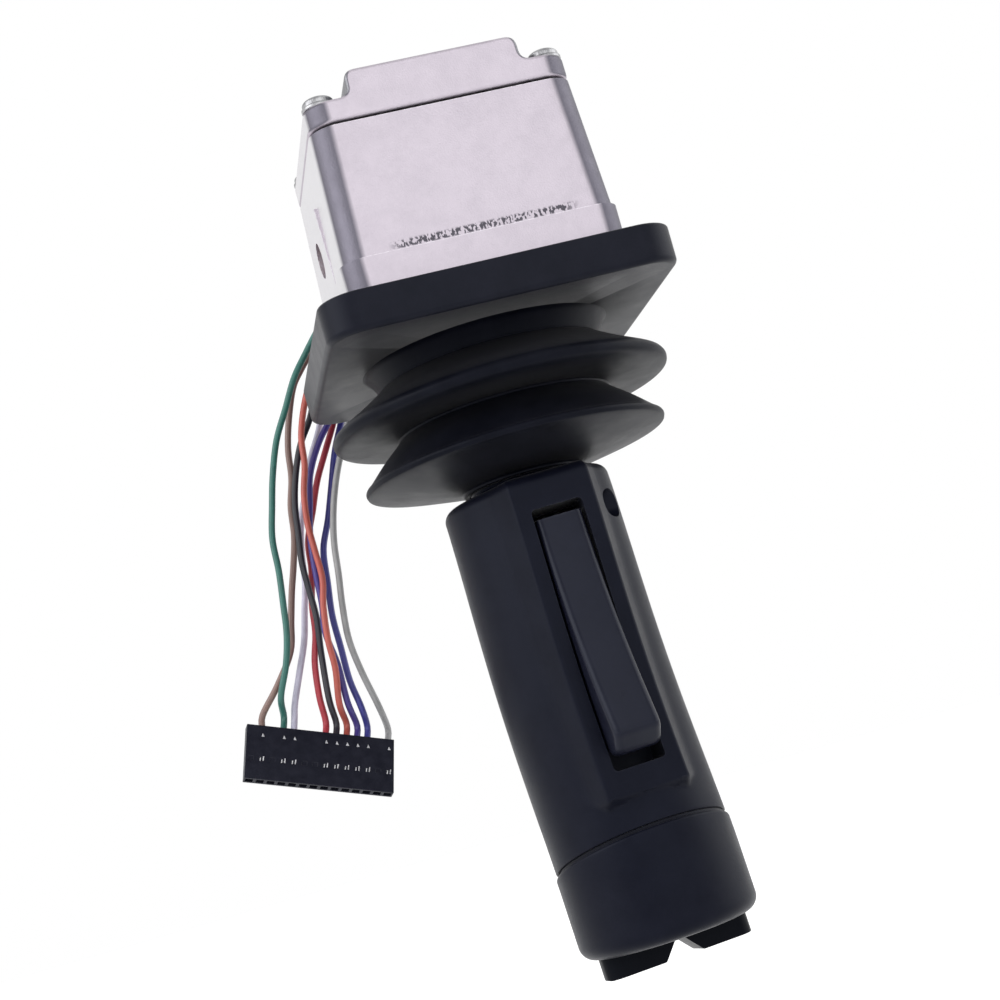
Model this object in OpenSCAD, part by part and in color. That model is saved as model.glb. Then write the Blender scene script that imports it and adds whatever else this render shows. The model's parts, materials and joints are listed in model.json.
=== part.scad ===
// Industrial joystick: a die-cast pivot box, a square rubber boot and a trigger grip with a thumb rocker.
// The frame has +Z from the grip to the housing, +Y to the back and the trigger towards -Y.
// The origin is the centre of the panel screws, on the panel side of the boot flange.

/* [Housing] */
// Width of the housing at the mounting plate
body_w_base = 61; // [58:0.5:62]
// Width of the housing at the cover seam
body_w_top = 57.4; // [56.5:0.1:59]
// Depth of the housing at the mounting plate
body_d_base = 58.4; // [56:0.2:60]
// Depth of the housing at the cover seam
body_d_top = 55.2; // [54:0.2:56]
// Offset of the housing's centre towards the trigger side
body_shift = 2.5; // [0:0.1:3]
// Height of the housing's body from the plate to the seam
body_h = 38.6; // [38:0.1:42]
// Corner radius of the housing
body_r = 6; // [5.5:0.1:7]
// Wall thickness of the housing
body_wall = 3.2; // [2.6:0.1:3.6]
// Height of the thicker skirt band at the housing's foot
skirt_h = 8.8; // [6:0.1:9.5]
// How far the skirt band stands proud
skirt_t = 0.4; // [0.2:0.1:0.6]

/* [Cover] */
// Thickness of the cover's screw flange
cover_t = 4.9; // [4:0.1:6]
// Height of the raised middle above the screw flange
cover_rise = 5.6; // [4:0.1:7]
// Width of the raised middle
cover_mid_w = 37.6; // [34:0.2:38]
// Thickness of the cover gasket
gasket_t = 0.5; // [0.4:0.1:1]
// Distance between cover screws, left to right
screw_dx = 50; // [49:0.1:50]
// Distance between cover screws, front to back
screw_dy = 44; // [43:0.1:45]

/* [Boot] */
// Width of the boot flange
flange_w = 76.6; // [75:0.1:80]
// Depth of the boot flange
flange_d = 81.6; // [80:0.1:84]
// Thickness of the boot flange
flange_t = 8.6; // [8:0.1:10]
// Corner radius of the boot flange
flange_r = 8.3; // [7:0.1:9]
// Reach of the upper bellows fold past the flange's sides
rim1_out = 0.1; // [-1:0.1:2]
// Radius of the lower bellows fold's rim
rim2_r = 34.3; // [33:0.1:36]
// Radius of the collar in the boot's mouth
collar_r = 12; // [11.5:0.1:12.5]

/* [Mounting plate] */
// Thickness of the mounting plate
plate_t = 2.5; // [2:0.1:3]
// Distance of the panel screws from the flange's edges
panel_in = 5.3; // [5:0.1:5.8]
// Tapping radius of the panel screw holes
panel_hole_r = 1.65; // [1.5:0.05:2.1]

/* [Pivot] */
// Height of the lever pivot above the panel side of the flange
pivot_z = 19.6; // [19:0.1:20.5]
// Radius of the pivot axle
axle_r = 3; // [2.5:0.1:3.2]
// Outer radius of the pivot bushes
bush_r = 4; // [3.8:0.1:4.2]
// Outer radius of the lever shaft
shaft_r = 5; // [4.6:0.1:5.2]
// Radius of the wire passage in the lever shaft
shaft_bore_r = 2.5; // [2:0.1:2.8]

/* [Grip] */
// Radius of the grip at the boot
grip_r_top = 18.8; // [18.5:0.1:19.5]
// Radius of the grip at the end cap
grip_r_end = 19.5; // [19:0.1:20]
// Level of the grip's boot end below the flange face
grip_top = 41.6; // [41.4:0.1:42.5]
// Level of the joint between grip and end cap, on the grip's axis
grip_end = 122.8; // [119:0.1:124]
// Lean of that joint, higher on the trigger side, degrees
joint_lean = 12; // [0:0.5:12.5]
// Wall thickness of the grip
grip_wall = 3; // [2.6:0.1:3.2]
// Sideways lean of the grip on its cranked shaft, degrees
grip_lean = 2.4; // [0:0.1:3]
// Turn of the grip about its own axis, degrees
grip_twist = 4; // [0:0.5:6]
// Half width of the raised pad on the trigger side
pad_half_w = 9; // [8.5:0.1:9.5]
// Distance from the grip's axis to the pad's face
pad_y = 20.5; // [20.3:0.1:21.5]

/* [Trigger] */
// Width of the trigger
trigger_w = 10; // [9:0.1:10.2]
// Level of the trigger hinge below the flange face
hinge_z = 51.5; // [51:0.1:52]
// Distance of the trigger hinge in front of the grip's axis
hinge_y = 11.8; // [11.5:0.1:12]
// Radius of the trigger hinge pin
hinge_pin_r = 1.5; // [1.2:0.1:1.6]
// Level of the trigger's free end
trigger_end = 103.6; // [102:0.1:104]
// Reach of the trigger's free end from the grip's axis
trigger_reach = 28; // [26:0.1:29]
// Side gap between trigger and slot
slot_gap = 0.8; // [0.5:0.1:1]
// Radius of the hinge access hole in the grip's side
access_r = 3.3; // [3:0.1:3.5]

/* [End cap and rocker] */
// Outer radius of the end cap
cap_r = 19.9; // [19.7:0.1:20.4]
// Level of the end cap's outer face
cap_end = 142.9; // [142:0.1:145]
// Radius of the end cap's outer edge
cap_fillet = 3.8; // [2:0.1:4]
// Half length of the thumb rocker
rocker_half = 16.9; // [16:0.1:17]
// Half width of the thumb rocker
rocker_half_w = 4; // [3.5:0.1:4.2]
// How far the rocker stands out of the end cap
rocker_out = 4.8; // [4:0.1:5]
// Half width of the rocker's thumb notch at its mouth
notch_half = 4; // [3:0.1:5]

/* [Wiring] */
// Diameter of each wire
wire_d = 1.6; // [1.4:0.1:1.7]
// Contact pitch of the wire connector
pitch = 2.54; // [2.5:0.01:2.54]
// Height of the connector housing
plug_h = 14; // [13:0.1:14.5]
// Thickness of the connector housing
plug_t = 2.5; // [2.4:0.1:3]

/* [Hidden] */
$fn = 64;
hull_fn = 32;
eps = 0.5;           // how far a cut runs past the face it opens
fit = 0.02;          // radial clearance of fixed fits
run = 0.05;          // radial clearance of running fits
air = 0.3;           // clearance between pieces that only lie beside each other

// housing and cover
body_y = -body_shift;
floor_t = 4;
lever_open_r = 17;
post_r = 3.5;
m4_r = 2;
m4_tap_r = 1.65;
m4_clear_r = 2.2;
m4_depth = 12;
m4_bite = 9;
cross_w = 3.6;
cross_t = 0.8;
cross_h = 2.4;
socket_deep = 1.1;
socket_hex_r = 1.2;
m3_clear_r = 1.6;
m3_tap_r = 1.25;
pan_head_r = 3.5;
pan_head_h = 2.3;
washer_r = 3.8;
washer_t = 1;
seam_z = body_h + gasket_t;
cover_top = seam_z + cover_t + cover_rise;
gasket_inset = 0.4;
pivot_half = pivot_z / body_h * (body_w_top - body_w_base) / 2 + body_w_base / 2;
side_in = body_w_top / 2 - body_wall;
boss_pad_t = 0.5;
boss_pad_half = 12.5;
boss_pad_top = 27.5;
bush_recess = 1.4;
axle_in = 2.4;
bush_boss_r = 8;
bush_inner_x = 22.4;
// mounting plate and boot
lip = 1.6;
plate_w = flange_w - 2 * lip;
plate_d = flange_d - 2 * lip;
plate_gap = 0.1;
panel_dx = flange_w - 2 * panel_in;
panel_dy = flange_d - 2 * panel_in;
csk_r = 3.8;
boot_open_r = 27;
neck1_r = 26;
neck2_r = 24;
neck1_z = 13;
neck2_z = 24.4;
rim1_z = 21.5;
rim2_z = 34;
boot_wall = 1.5;
rim1_r = flange_w / 2 + rim1_out;
rim_soft = 1.2;
rim_half = 0.9;
rim_fall = 2;
mouth_t = 1.7;
mouth_gap = 0.1;
mouth_z = grip_top - 1.2;
collar_h = 4;
// pivot inside the housing
hub_r = 9;
hub_half = 13;
hub_boss_r = 7.5;
hub_boss_x = 20;
hub_foot_z = floor_t;
hub_arm_r = 8;
shaft_top = 14;
clip_x = 21;
clip_t = 0.8;
clip_ring = 2;
clip_deep = 0.5;
clip_mouth = 2.4;
magnet_r = 3;
magnet_t = 2.5;
magnet_gap = 3.3;
board_drop = 4.1;
magnet_top = body_h - board_drop - magnet_gap;
spring_wire_r = 0.8;
spring_r = 9;
spring_turns = 4;
spring_x = hub_half + 0.3 + spring_wire_r;
stop_r = 2;
stop_y = 17;
peg_y = 12.2;
ear_h = 5;
board_z = body_h - board_drop;
board_t = 1.6;
board_tap = 8;
board_bite = 5.4;
board_head_r = 2.7;
board_head_h = 1.8;
board_shank_r = 1.5;
board_r = 2;
board_w = 42;
board_d = 46;
board_post_x = 17;
board_post_dy = 20;
board_post_r = 3;
chip_t = 1.1;
chip_w = 4;
proc_w = 10;
plug_in_h = 1.8;
// grip, in its own straight frame
crank_z = 50;
grip_fillet = 2.5;
block_end = 57;
core_r = 8.5;
socket_z = 52;
socket_r = 6.4;
socket_top = 43;
socket_end = 56;
lead_r = 2;
grip_pin_z = 98;
hub_screw_z = 8;
core_end = 106;
shaft_end = 104;
pin_r = 1.5;
rib_t = 3;
slot_top = 49.5;
slot_end = 106.6;
slot_half = trigger_w / 2 + slot_gap;
slot_back = hinge_y - 3.6;
pad_end = 112.5;
pad_foot_half = 13;
barrel_r = 3.2;
trigger_start = 51.9;
pin_half = 11.8;
spring2_z = 84;
spring2_r = 2.6;
trigger_back = 16.2;
seat_deep = 1;
mag2_z = 96;
mag2_r = 2;
mag2_t = 2;
// end cap and rocker
joint_gap = 0.6;
cap_top = grip_end + joint_gap;
joint_drop = cap_r * tan(joint_lean);
cut_half = 2 * cap_r;
cap_wall = 2.6;
cap_floor = 3;
spigot_h = 8;
spigot_t = 1.2;
spigot_web_t = 1.2;
spigot_low = cap_top + joint_drop + spigot_web_t;
wing_gap = 1.5;
axis_deep = 5.7;
rocker_axis = cap_end - axis_deep;
rocker_pin_r = 1.25;
rocker_gap = 0.5;
web_y = rocker_half_w + rocker_gap;
web_t = 3.2;
web_half = 7;
board_rise = 6.7;
rocker_board_z = rocker_axis - board_rise;
rocker_board_t = 1.5;
rocker_board_r = 14.5;
rocker_post_x = 10;
rocker_post_y = 9.5;
m2_head_r = 1.9;
m2_head_h = 1.3;
m2_tap_r = 0.95;
m2_clear_r = 1.15;
m2_post_r = 2.4;
m2_bite = 4.5;
wing_top = cap_end - cap_floor - wing_gap;
wing_half = 15.4;
rocker_end = cap_end + rocker_out;
spring3_x = 9.5;
spring3_r = 2;
mag3_x = 13;
mag3_r = 1.5;
mag3_t = 1.2;
// wiring
ways = 14;
plug_w = ways * pitch;
plug_pos = [-56, 48, -84.8];
plug_turn = 8;
plug_roll = 20.6;
plug_tilt = -20;
grommet_x = -16;
grommet_z = 22;
grommet_half = 8;
grommet_r = 3.4;
grommet_lip = 1.2;
grommet_t = 1.4;
back_y = body_y + body_d_base / 2 - grommet_z / body_h * (body_d_base - body_d_top) / 2;
exit_y = back_y + grommet_t;
row_gap = 1.5;
used_ways = [4, 2, 5, 8, 9, 10, 11, 12, 14];
// where each wire leaves the grommet: sideways place and row
exits = [[-22, 1], [-20.5, -1], [-16, 1], [-14.5, -1], [-17.5, -1], [-19, 1], [-11.5, -1],
         [-13, 1], [-10, 1]];
routes = [
 [[-22, 32, 23], [-23, 36, 22], [-26.5, 39.5, 19], [-30.5, 43.5, 15.5], [-34.5, 44.5, 11],
  [-38.5, 44.5, 6], [-42.5, 44.5, -1], [-46.5, 44.5, -8], [-49.5, 44.5, -16], [-51.5, 44.5, -23],
  [-53.5, 45, -31], [-54, 45, -39], [-55, 45, -47], [-56, 45, -54], [-58, 45, -61], [-61, 47, -68]],
 [[-21, 33, 20], [-23, 38, 19], [-27, 43, 16.5], [-32, 47, 12.5], [-36, 48.5, 8.5], [-39, 48.5, 4.5],
  [-42, 48.5, -3], [-44, 48.5, -10], [-45, 48.5, -17], [-47, 48.5, -24], [-48, 48.5, -31],
  [-50, 48.5, -38], [-52, 48.5, -44], [-54, 48.5, -51], [-56, 48.5, -58], [-61, 49, -65]],
 [[-16, 32, 23], [-18, 37, 22], [-22, 43, 19], [-26, 49, 14], [-29, 52, 8], [-32, 53, 1], [-35, 53, -6],
  [-39, 53, -13], [-42, 53, -20], [-45, 53, -27], [-47, 53, -35], [-48, 53, -42], [-50, 52, -49],
  [-52, 51, -56], [-55, 50, -63], [-58, 50, -70]],
 [[-15, 32, 20], [-17, 37, 19], [-21, 43, 15], [-25, 48, 9], [-28, 50, 2], [-31, 50, -5], [-35, 50, -12],
  [-39, 50, -19], [-42, 50, -26], [-45, 50, -33], [-46, 50, -40], [-48, 50, -48], [-49, 50, -55],
  [-51, 50, -62], [-52, 50, -70]],
 [[-18, 32, 20], [-20, 37, 18], [-24, 42, 14], [-29, 45, 8], [-34, 47, 2], [-37, 47, -4], [-41, 47, -10],
  [-44, 47, -17], [-46, 47, -24], [-47, 47, -31], [-48, 47, -38], [-48, 47.5, -45], [-48, 47.5, -52],
  [-49, 48.5, -60], [-50, 49, -71]],
 [[-19, 33, 23], [-20.5, 38, 20.5], [-24.5, 42.5, 16.5], [-29.5, 44.5, 11.5], [-33.5, 44.5, 6.5],
  [-37.5, 44.5, -0.5], [-40.5, 44, -8.5], [-41.5, 44, -15.5], [-43.5, 44, -22.5], [-44.5, 44, -29.5],
  [-44.5, 44, -36.5], [-44.5, 44, -43.5], [-46, 44, -50], [-47, 44, -58], [-47, 45, -65], [-48, 48, -73]],
 [[-12, 32, 20], [-14.5, 37, 18], [-18.5, 41.5, 13.5], [-22.5, 45.5, 7.5], [-27.5, 46.5, 1.5],
  [-31.5, 46.5, -4.5], [-36.5, 46.5, -10.5], [-40.5, 46.5, -17.5], [-42.5, 46, -24.5], [-44.5, 46, -32.5],
  [-45.5, 46, -41], [-46, 46, -49], [-47, 46, -56], [-46, 47.5, -64], [-46, 48.5, -73]],
 [[-13, 32, 23], [-15, 38, 21], [-18, 44, 16], [-22, 48, 9], [-26, 49, 2], [-29, 49, -5], [-33, 49, -13],
  [-36, 49, -21], [-39, 49, -29], [-42, 49, -36], [-43, 50, -44], [-44, 50, -52], [-44, 50, -60],
  [-44, 50, -68], [-43, 50, -75]],
 [[-10, 32, 23], [-11.5, 37, 22], [-15.5, 42, 16.5], [-19, 44.5, 9.5], [-23, 44.5, 2.5], [-27, 44.5, -4.5],
  [-30.5, 44.5, -11.5], [-34.5, 44, -19.5], [-37.5, 44, -27.5], [-39.5, 44, -35.5], [-40.5, 44, -43.5],
  [-41.5, 45, -51], [-42, 46, -59], [-41, 47, -67], [-39, 49, -76]]];

// colours
aluminium = [0.75, 0.73, 0.77];
rubber = [0.07, 0.075, 0.09];
plastic = [0.10, 0.105, 0.125];
steel = [0.62, 0.63, 0.65];
bronze = [0.66, 0.47, 0.24];
board_green = [0.08, 0.30, 0.18];
chip_black = [0.05, 0.05, 0.055];

// ---------- helpers ----------
module round_rect(w, d, r) {
    hull() for (x = [-1, 1], y = [-1, 1])
        translate([x * (w / 2 - r), y * (d / 2 - r)]) circle(r, $fn = hull_fn);
}
module plain_rect(w, d, r) {
    square([w - 2 * r, d], center = true);
    square([w, d - 2 * r], center = true);
    for (x = [-1, 1], y = [-1, 1]) translate([x * (w / 2 - r), y * (d / 2 - r)]) circle(r);
}
module slab(w, d, r, z0, z1) {
    translate([0, 0, z0]) linear_extrude(z1 - z0) plain_rect(w, d, r);
}
module tapered(w0, d0, w1, d1, r, z0, z1) {
    thin = 0.01;
    hull() {
        translate([0, 0, z0]) linear_extrude(thin) round_rect(w0, d0, r);
        translate([0, 0, z1 - thin]) linear_extrude(thin) round_rect(w1, d1, r);
    }
}
module at_cover_screws() {
    for (x = [-1, 1], y = [-1, 1]) translate([x * screw_dx / 2, body_y + y * screw_dy / 2, 0]) children();
}
module at_board_posts() {
    for (x = [-1, 1], y = [-1, 1]) translate([x * board_post_x, body_y + y * board_post_dy, 0]) children();
}
module along_x(x0, x1, r) {
    translate([x0, 0, 0]) rotate([0, 90, 0]) cylinder(h = x1 - x0, r = r);
}
module along_y(y0, y1, r) {
    translate([0, y0, 0]) rotate([-90, 0, 0]) cylinder(h = y1 - y0, r = r);
}
// places a piece of the grip: the shaft is cranked sideways at crank_z and the grip is turned on it
module on_grip() {
    translate([0, 0, -crank_z]) rotate([0, -grip_lean, 0]) rotate([0, 0, grip_twist])
        translate([0, 0, crank_z]) children();
}
// a tube through points, with eight sides
function unit(v) = v / norm(v);
function heading(p, i) = unit(p[min(i + 1, len(p) - 1)] - p[max(i - 1, 0)]);
function ring_point(p, i, k, r) =
    let (t = heading(p, i), n = unit(cross(t, [1, 0, 0])), b = cross(t, n))
    p[i] + r * (cos(45 * k) * n + sin(45 * k) * b);
module tube(p, r) {
    n = len(p);
    polyhedron(points = [for (i = [0 : n - 1], k = [0 : 7]) ring_point(p, i, k, r)],
        faces = concat([[for (k = [0 : 7]) k]], [[for (k = [7 : -1 : 0]) 8 * (n - 1) + k]],
            [for (i = [0 : n - 2], k = [0 : 7])
                [8 * i + k, 8 * (i + 1) + k, 8 * (i + 1) + (k + 1) % 8, 8 * i + (k + 1) % 8]]));
}
// a close-wound spring as one ribbed sleeve along +Z
module ribbed_sleeve(r, wire, h) {
    turns = max(2, round(h / (2 * wire)));
    step = h / turns;
    rotate_extrude() union() {
        translate([r - wire / 2, 0]) square([wire, h]);
        for (i = [0 : turns - 1]) translate([r, (i + 0.5) * step]) circle(wire * 0.98, $fn = 16);
    }
}
module pan_screw(top, head_r, head_h, shank_r, clear_r, clear_len, depth) {
    translate([0, 0, top]) cylinder(h = head_h, r = head_r);
    translate([0, 0, top - clear_len]) cylinder(h = clear_len + 0.01, r = clear_r);
    translate([0, 0, top - depth]) cylinder(h = depth, r = shank_r);
}

// ---------- fixed body ----------
module housing() {
    color(aluminium) difference() {
        union() {
            difference() {
                translate([0, body_y, 0])
                    tapered(body_w_base, body_d_base, body_w_top, body_d_top, body_r, 0, body_h);
                translate([0, body_y, floor_t]) tapered(body_w_base - 2 * body_wall,
                    body_d_base - 2 * body_wall, body_w_top - 2 * body_wall, body_d_top - 2 * body_wall,
                    body_r - body_wall, 0, body_h - floor_t + eps);
            }
            translate([0, body_y, 0]) slab(body_w_base + skirt_t, body_d_base + skirt_t, body_r, 0, floor_t);
            translate([0, body_y, 0]) difference() {
                slab(body_w_base + skirt_t, body_d_base + skirt_t, body_r, 0, skirt_h);
                slab(body_w_base - body_wall, body_d_base - body_wall, body_r - body_wall / 2,
                    floor_t - eps, skirt_h + eps);
            }
            at_cover_screws() cylinder(h = body_h, r = post_r);
            at_board_posts() cylinder(h = board_z, r = board_post_r);
            for (s = [0, 1]) mirror([s, 0, 0]) {
                translate([0, 0, pivot_z]) along_x(bush_inner_x, side_in + 1, bush_boss_r);
                translate([side_in, -boss_pad_half, skirt_h - 1])
                    cube([pivot_half + boss_pad_t - side_in, 2 * boss_pad_half, boss_pad_top - skirt_h + 1]);
            }
            translate([0, -stop_y, pivot_z]) along_x(hub_boss_x, side_in + 1, stop_r + 2);
        }
        translate([0, 0, -eps]) cylinder(h = floor_t + 2 * eps, r = lever_open_r);
        translate([0, 0, pivot_z]) along_x(-pivot_half - 1, pivot_half + 1, bush_r);
        translate([0, -stop_y, pivot_z]) along_x(hub_half, side_in, stop_r + fit);
        at_cover_screws() {
            translate([0, 0, body_h - m4_depth]) cylinder(h = m4_depth + eps, r = m4_tap_r);
            translate([0, 0, -eps]) cylinder(h = m4_depth + eps, r = m4_tap_r);
        }
        at_board_posts() translate([0, 0, board_z - board_tap]) cylinder(h = board_tap + eps, r = m3_tap_r);
        translate([grommet_x, back_y - body_wall - 3, grommet_z]) rotate([-90, 0, 0])
            linear_extrude(body_wall + 6) grommet_hole(fit);
    }
}
module grommet_hole(gap) {
    square([2 * (grommet_half - grommet_r), 2 * (grommet_r + gap)], center = true);
    for (s = [-1, 1]) translate([s * (grommet_half - grommet_r), 0]) circle(grommet_r + gap);
}
module cover() {
    color(aluminium) translate([0, body_y, 0]) difference() {
        union() {
            slab(body_w_top, body_d_top, body_r, seam_z, seam_z + cover_t);
            intersection() {
                slab(body_w_top, body_d_top, body_r, seam_z, cover_top);
                translate([-cover_mid_w / 2, -body_d_top, 0]) cube([cover_mid_w, 2 * body_d_top, cover_top]);
            }
        }
        slab(cover_mid_w - 2 * body_wall, body_d_top - 3 * body_wall, body_r - body_wall,
            seam_z - eps, cover_top - body_wall);
        for (x = [-1, 1], y = [-1, 1]) translate([x * screw_dx / 2, y * screw_dy / 2, seam_z - eps]) {
            cylinder(h = cover_t + 2 * eps, r = m4_clear_r);
            translate([0, 0, cover_t + eps]) cylinder(h = cover_rise + 1, r = washer_r + 1);
        }
    }
}
module cover_gasket() {
    color(rubber) translate([0, body_y, 0]) difference() {
        slab(body_w_top - 2 * gasket_inset, body_d_top - 2 * gasket_inset, body_r - gasket_inset, body_h, seam_z);
        slab(body_w_top - 2 * body_wall, body_d_top - 2 * body_wall, body_r - body_wall,
            body_h - eps, seam_z + eps);
        for (x = [-1, 1], y = [-1, 1]) translate([x * screw_dx / 2, y * screw_dy / 2, body_h - eps])
            cylinder(h = gasket_t + 2 * eps, r = m4_clear_r);
    }
}
module cover_screws() {
    color(steel) at_cover_screws() difference() {
        pan_screw(seam_z + cover_t + washer_t, pan_head_r, pan_head_h, m4_tap_r - run, m4_r,
            cover_t + washer_t, cover_t + washer_t + gasket_t + m4_bite);
        for (a = [0, 90]) translate([0, 0, seam_z + cover_t + washer_t + pan_head_h]) rotate([0, 0, a])
            cube([cross_w, cross_t, cross_h], center = true);
    }
}
module cover_washers() {
    color(steel) at_cover_screws() translate([0, 0, seam_z + cover_t]) difference() {
        union() {
            cylinder(h = washer_t / 2, r = washer_r);
            cylinder(h = washer_t, r = pan_head_r - 0.2);
        }
        translate([0, 0, -eps]) cylinder(h = washer_t + 2 * eps, r = m4_r + run);
    }
}
module mounting_plate() {
    color(steel) difference() {
        slab(plate_w - 2 * plate_gap, plate_d - 2 * plate_gap, flange_r - lip, -plate_t, 0);
        translate([0, 0, -plate_t - eps]) cylinder(h = plate_t + 2 * eps, r = lever_open_r);
        for (x = [-1, 1], y = [-1, 1]) translate([x * panel_dx / 2, y * panel_dy / 2, -plate_t - eps])
            cylinder(h = plate_t + 2 * eps, r = panel_hole_r);
        at_cover_screws() translate([0, 0, -plate_t]) {
            translate([0, 0, -eps]) cylinder(h = plate_t + 2 * eps, r = m4_clear_r);
            cylinder(h = csk_r - m4_clear_r, r1 = csk_r, r2 = m4_clear_r);
        }
    }
}
module plate_screws() {
    color(steel) at_cover_screws() translate([0, 0, -plate_t]) difference() {
        union() {
            cylinder(h = csk_r - m4_clear_r, r1 = csk_r - run, r2 = m4_clear_r - run);
            cylinder(h = plate_t + m4_bite, r = m4_tap_r - run);
        }
        translate([0, 0, -eps]) cylinder(h = socket_deep + eps, r = socket_hex_r, $fn = 6);
    }
}
module boot_flange() {
    color(rubber) difference() {
        slab(flange_w, flange_d, flange_r, -flange_t, 0);
        slab(plate_w, plate_d, flange_r - lip, -plate_t, eps);
        translate([0, 0, -flange_t - eps]) cylinder(h = flange_t + eps, r = boot_open_r);
        at_cover_screws() translate([0, 0, -plate_t - 1]) cylinder(h = 1 + eps, r = csk_r + air);
        for (x = [-1, 1], y = [-1, 1]) translate([x * panel_dx / 2, y * panel_dy / 2, -plate_t - 4])
            cylinder(h = 4 + eps, r = m4_clear_r);
    }
}
// half section of the bellows, outside then inside
module bellows_section() {
    polygon([[boot_open_r + boot_wall, -flange_t], [neck1_r, -neck1_z], [rim1_r - rim_soft, -rim1_z + boot_wall],
             [rim1_r, -rim1_z], [rim1_r - rim_soft, -rim1_z - rim_fall], [neck2_r, -neck2_z],
             [rim2_r - rim_soft, -rim2_z + rim_half], [rim2_r, -rim2_z], [rim2_r - rim_soft, -rim2_z - rim_half],
             [collar_r + mouth_t + boot_wall, -mouth_z + boot_wall], [collar_r + mouth_t, -mouth_z + rim_half],
             [collar_r + mouth_t, -mouth_z], [collar_r + mouth_gap, -mouth_z],
             [collar_r + mouth_gap, -mouth_z + boot_wall + rim_half],
             [collar_r + mouth_t + rim_half, -mouth_z + 2 * boot_wall], [rim2_r - 2 * boot_wall, -rim2_z],
             [neck2_r - boot_wall, -neck2_z - rim_soft], [neck2_r - boot_wall, -neck2_z + boot_wall],
             [rim1_r - 2 * boot_wall, -rim1_z - rim_half / 2], [rim1_r - 2 * boot_wall, -rim1_z + rim_half / 2],
             [neck1_r - boot_wall, -neck1_z - rim_half], [boot_open_r, -flange_t]]);
}
module boot_bellows() {
    color(rubber) rotate_extrude($fn = 96) bellows_section();
}
module bush(side) {
    color(bronze) mirror([side, 0, 0]) translate([0, 0, pivot_z]) difference() {
        along_x(bush_inner_x - 0.8, pivot_half - bush_recess, bush_r - fit);
        along_x(bush_inner_x - 2, pivot_half + 1, axle_r + run / 2);
    }
}
module bush_left() { bush(1); }
module bush_right() { bush(0); }
module spring_post() {
    color(steel) translate([0, -stop_y, pivot_z]) along_x(hub_half + air, side_in, stop_r);
}
module centring_spring() {
    gap = stop_r + spring_wire_r + fit;
    start = sqrt(pow(spring_r, 2) - pow(gap, 2));
    color(steel) translate([0, 0, pivot_z]) {
        translate([spring_x - spring_wire_r, 0, 0]) rotate([0, 90, 0])
            ribbed_sleeve(spring_r, spring_wire_r, 2 * spring_wire_r * spring_turns);
        for (i = [0, 1]) translate([spring_x + i * 2 * spring_wire_r * (spring_turns - 1), 0, (2 * i - 1) * gap])
            along_y(-stop_y - stop_r, -start, spring_wire_r);
    }
}
module sensor_board() {
    color(board_green) difference() {
        translate([0, body_y, 0]) slab(board_w, board_d, board_r, board_z, board_z + board_t);
        at_board_posts() translate([0, 0, board_z - eps]) cylinder(h = board_t + 2 * eps, r = m3_clear_r);
    }
}
module hall_sensors() {
    color(chip_black) for (y = [-1, 1])
        translate([-chip_w / 2, y * chip_w - chip_w / 2 + y * air, board_z - chip_t]) cube([chip_w, chip_w, chip_t]);
}
module board_components() {
    color(chip_black) translate([0, body_y, board_z + board_t]) {
        translate([-proc_w / 2, -proc_w / 2, 0]) cube([proc_w, proc_w, chip_t]);
        for (x = [-board_w / 3, board_w / 4]) translate([x, -proc_w / 2, 0]) cube([proc_w / 2, chip_w, chip_t]);
        for (y = [1, 2]) translate([board_w / 5, y * chip_w, 0]) cube([chip_w, chip_w / 2, chip_t]);
        translate([-proc_w, board_d / 2 - proc_w / 2 - chip_w / 2, 0]) cube([2 * proc_w, chip_w, plug_in_h]);
    }
}
module board_screws() {
    color(steel) at_board_posts() pan_screw(board_z + board_t, board_head_r, board_head_h, m3_tap_r - run,
        board_shank_r, board_t, board_t + board_bite);
}
module grommet() {
    color(rubber) difference() {
        translate([grommet_x, back_y - body_wall, grommet_z]) rotate([-90, 0, 0]) {
            translate([0, 0, 0.6]) linear_extrude(body_wall) grommet_hole(-0.1);
            translate([0, 0, body_wall + 0.2]) linear_extrude(grommet_t - 0.2) {
                square([2 * (grommet_half - grommet_r), 2 * (grommet_r + grommet_lip)], center = true);
                for (s = [-1, 1]) translate([s * (grommet_half - grommet_r), 0]) circle(grommet_r + grommet_lip);
            }
        }
    }
}
// the point on the connector's top face where a way's wire goes in, lifted by h
function turn_x(v, a) = [v[0], v[1] * cos(a) - v[2] * sin(a), v[1] * sin(a) + v[2] * cos(a)];
function turn_y(v, a) = [v[0] * cos(a) + v[2] * sin(a), v[1], v[2] * cos(a) - v[0] * sin(a)];
function turn_z(v, a) = [v[0] * cos(a) - v[1] * sin(a), v[0] * sin(a) + v[1] * cos(a), v[2]];
function plug_point(way, h) = plug_pos + turn_z(turn_y(turn_x(
    [(way - (ways + 1) / 2) * pitch, 0, plug_h / 2 + h], plug_tilt), plug_roll), plug_turn);
function exit_point(i, out) = [exits[i][0], exit_y + out, grommet_z + exits[i][1] * row_gap];
module wire(i, tint) {
    color(tint) tube(concat([exit_point(i, 0)], routes[i], [plug_point(used_ways[i], 3.5),
        plug_point(used_ways[i], 0)]), wire_d / 2);
}
module wire_green() { wire(0, [0.05, 0.45, 0.33]); }
module wire_brown() { wire(1, [0.45, 0.30, 0.26]); }
module wire_white() { wire(2, [0.85, 0.85, 0.88]); }
module wire_red() { wire(3, [0.75, 0.10, 0.12]); }
module wire_black() { wire(4, [0.05, 0.05, 0.06]); }
module wire_orange() { wire(5, [0.72, 0.20, 0.14]); }
module wire_violet() { wire(6, [0.28, 0.20, 0.55]); }
module wire_blue() { wire(7, [0.22, 0.22, 0.58]); }
module wire_grey() { wire(8, [0.55, 0.54, 0.56]); }
module at_plug() {
    translate(plug_pos) rotate([0, 0, plug_turn]) rotate([0, plug_roll, 0]) rotate([plug_tilt, 0, 0]) children();
}
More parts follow.
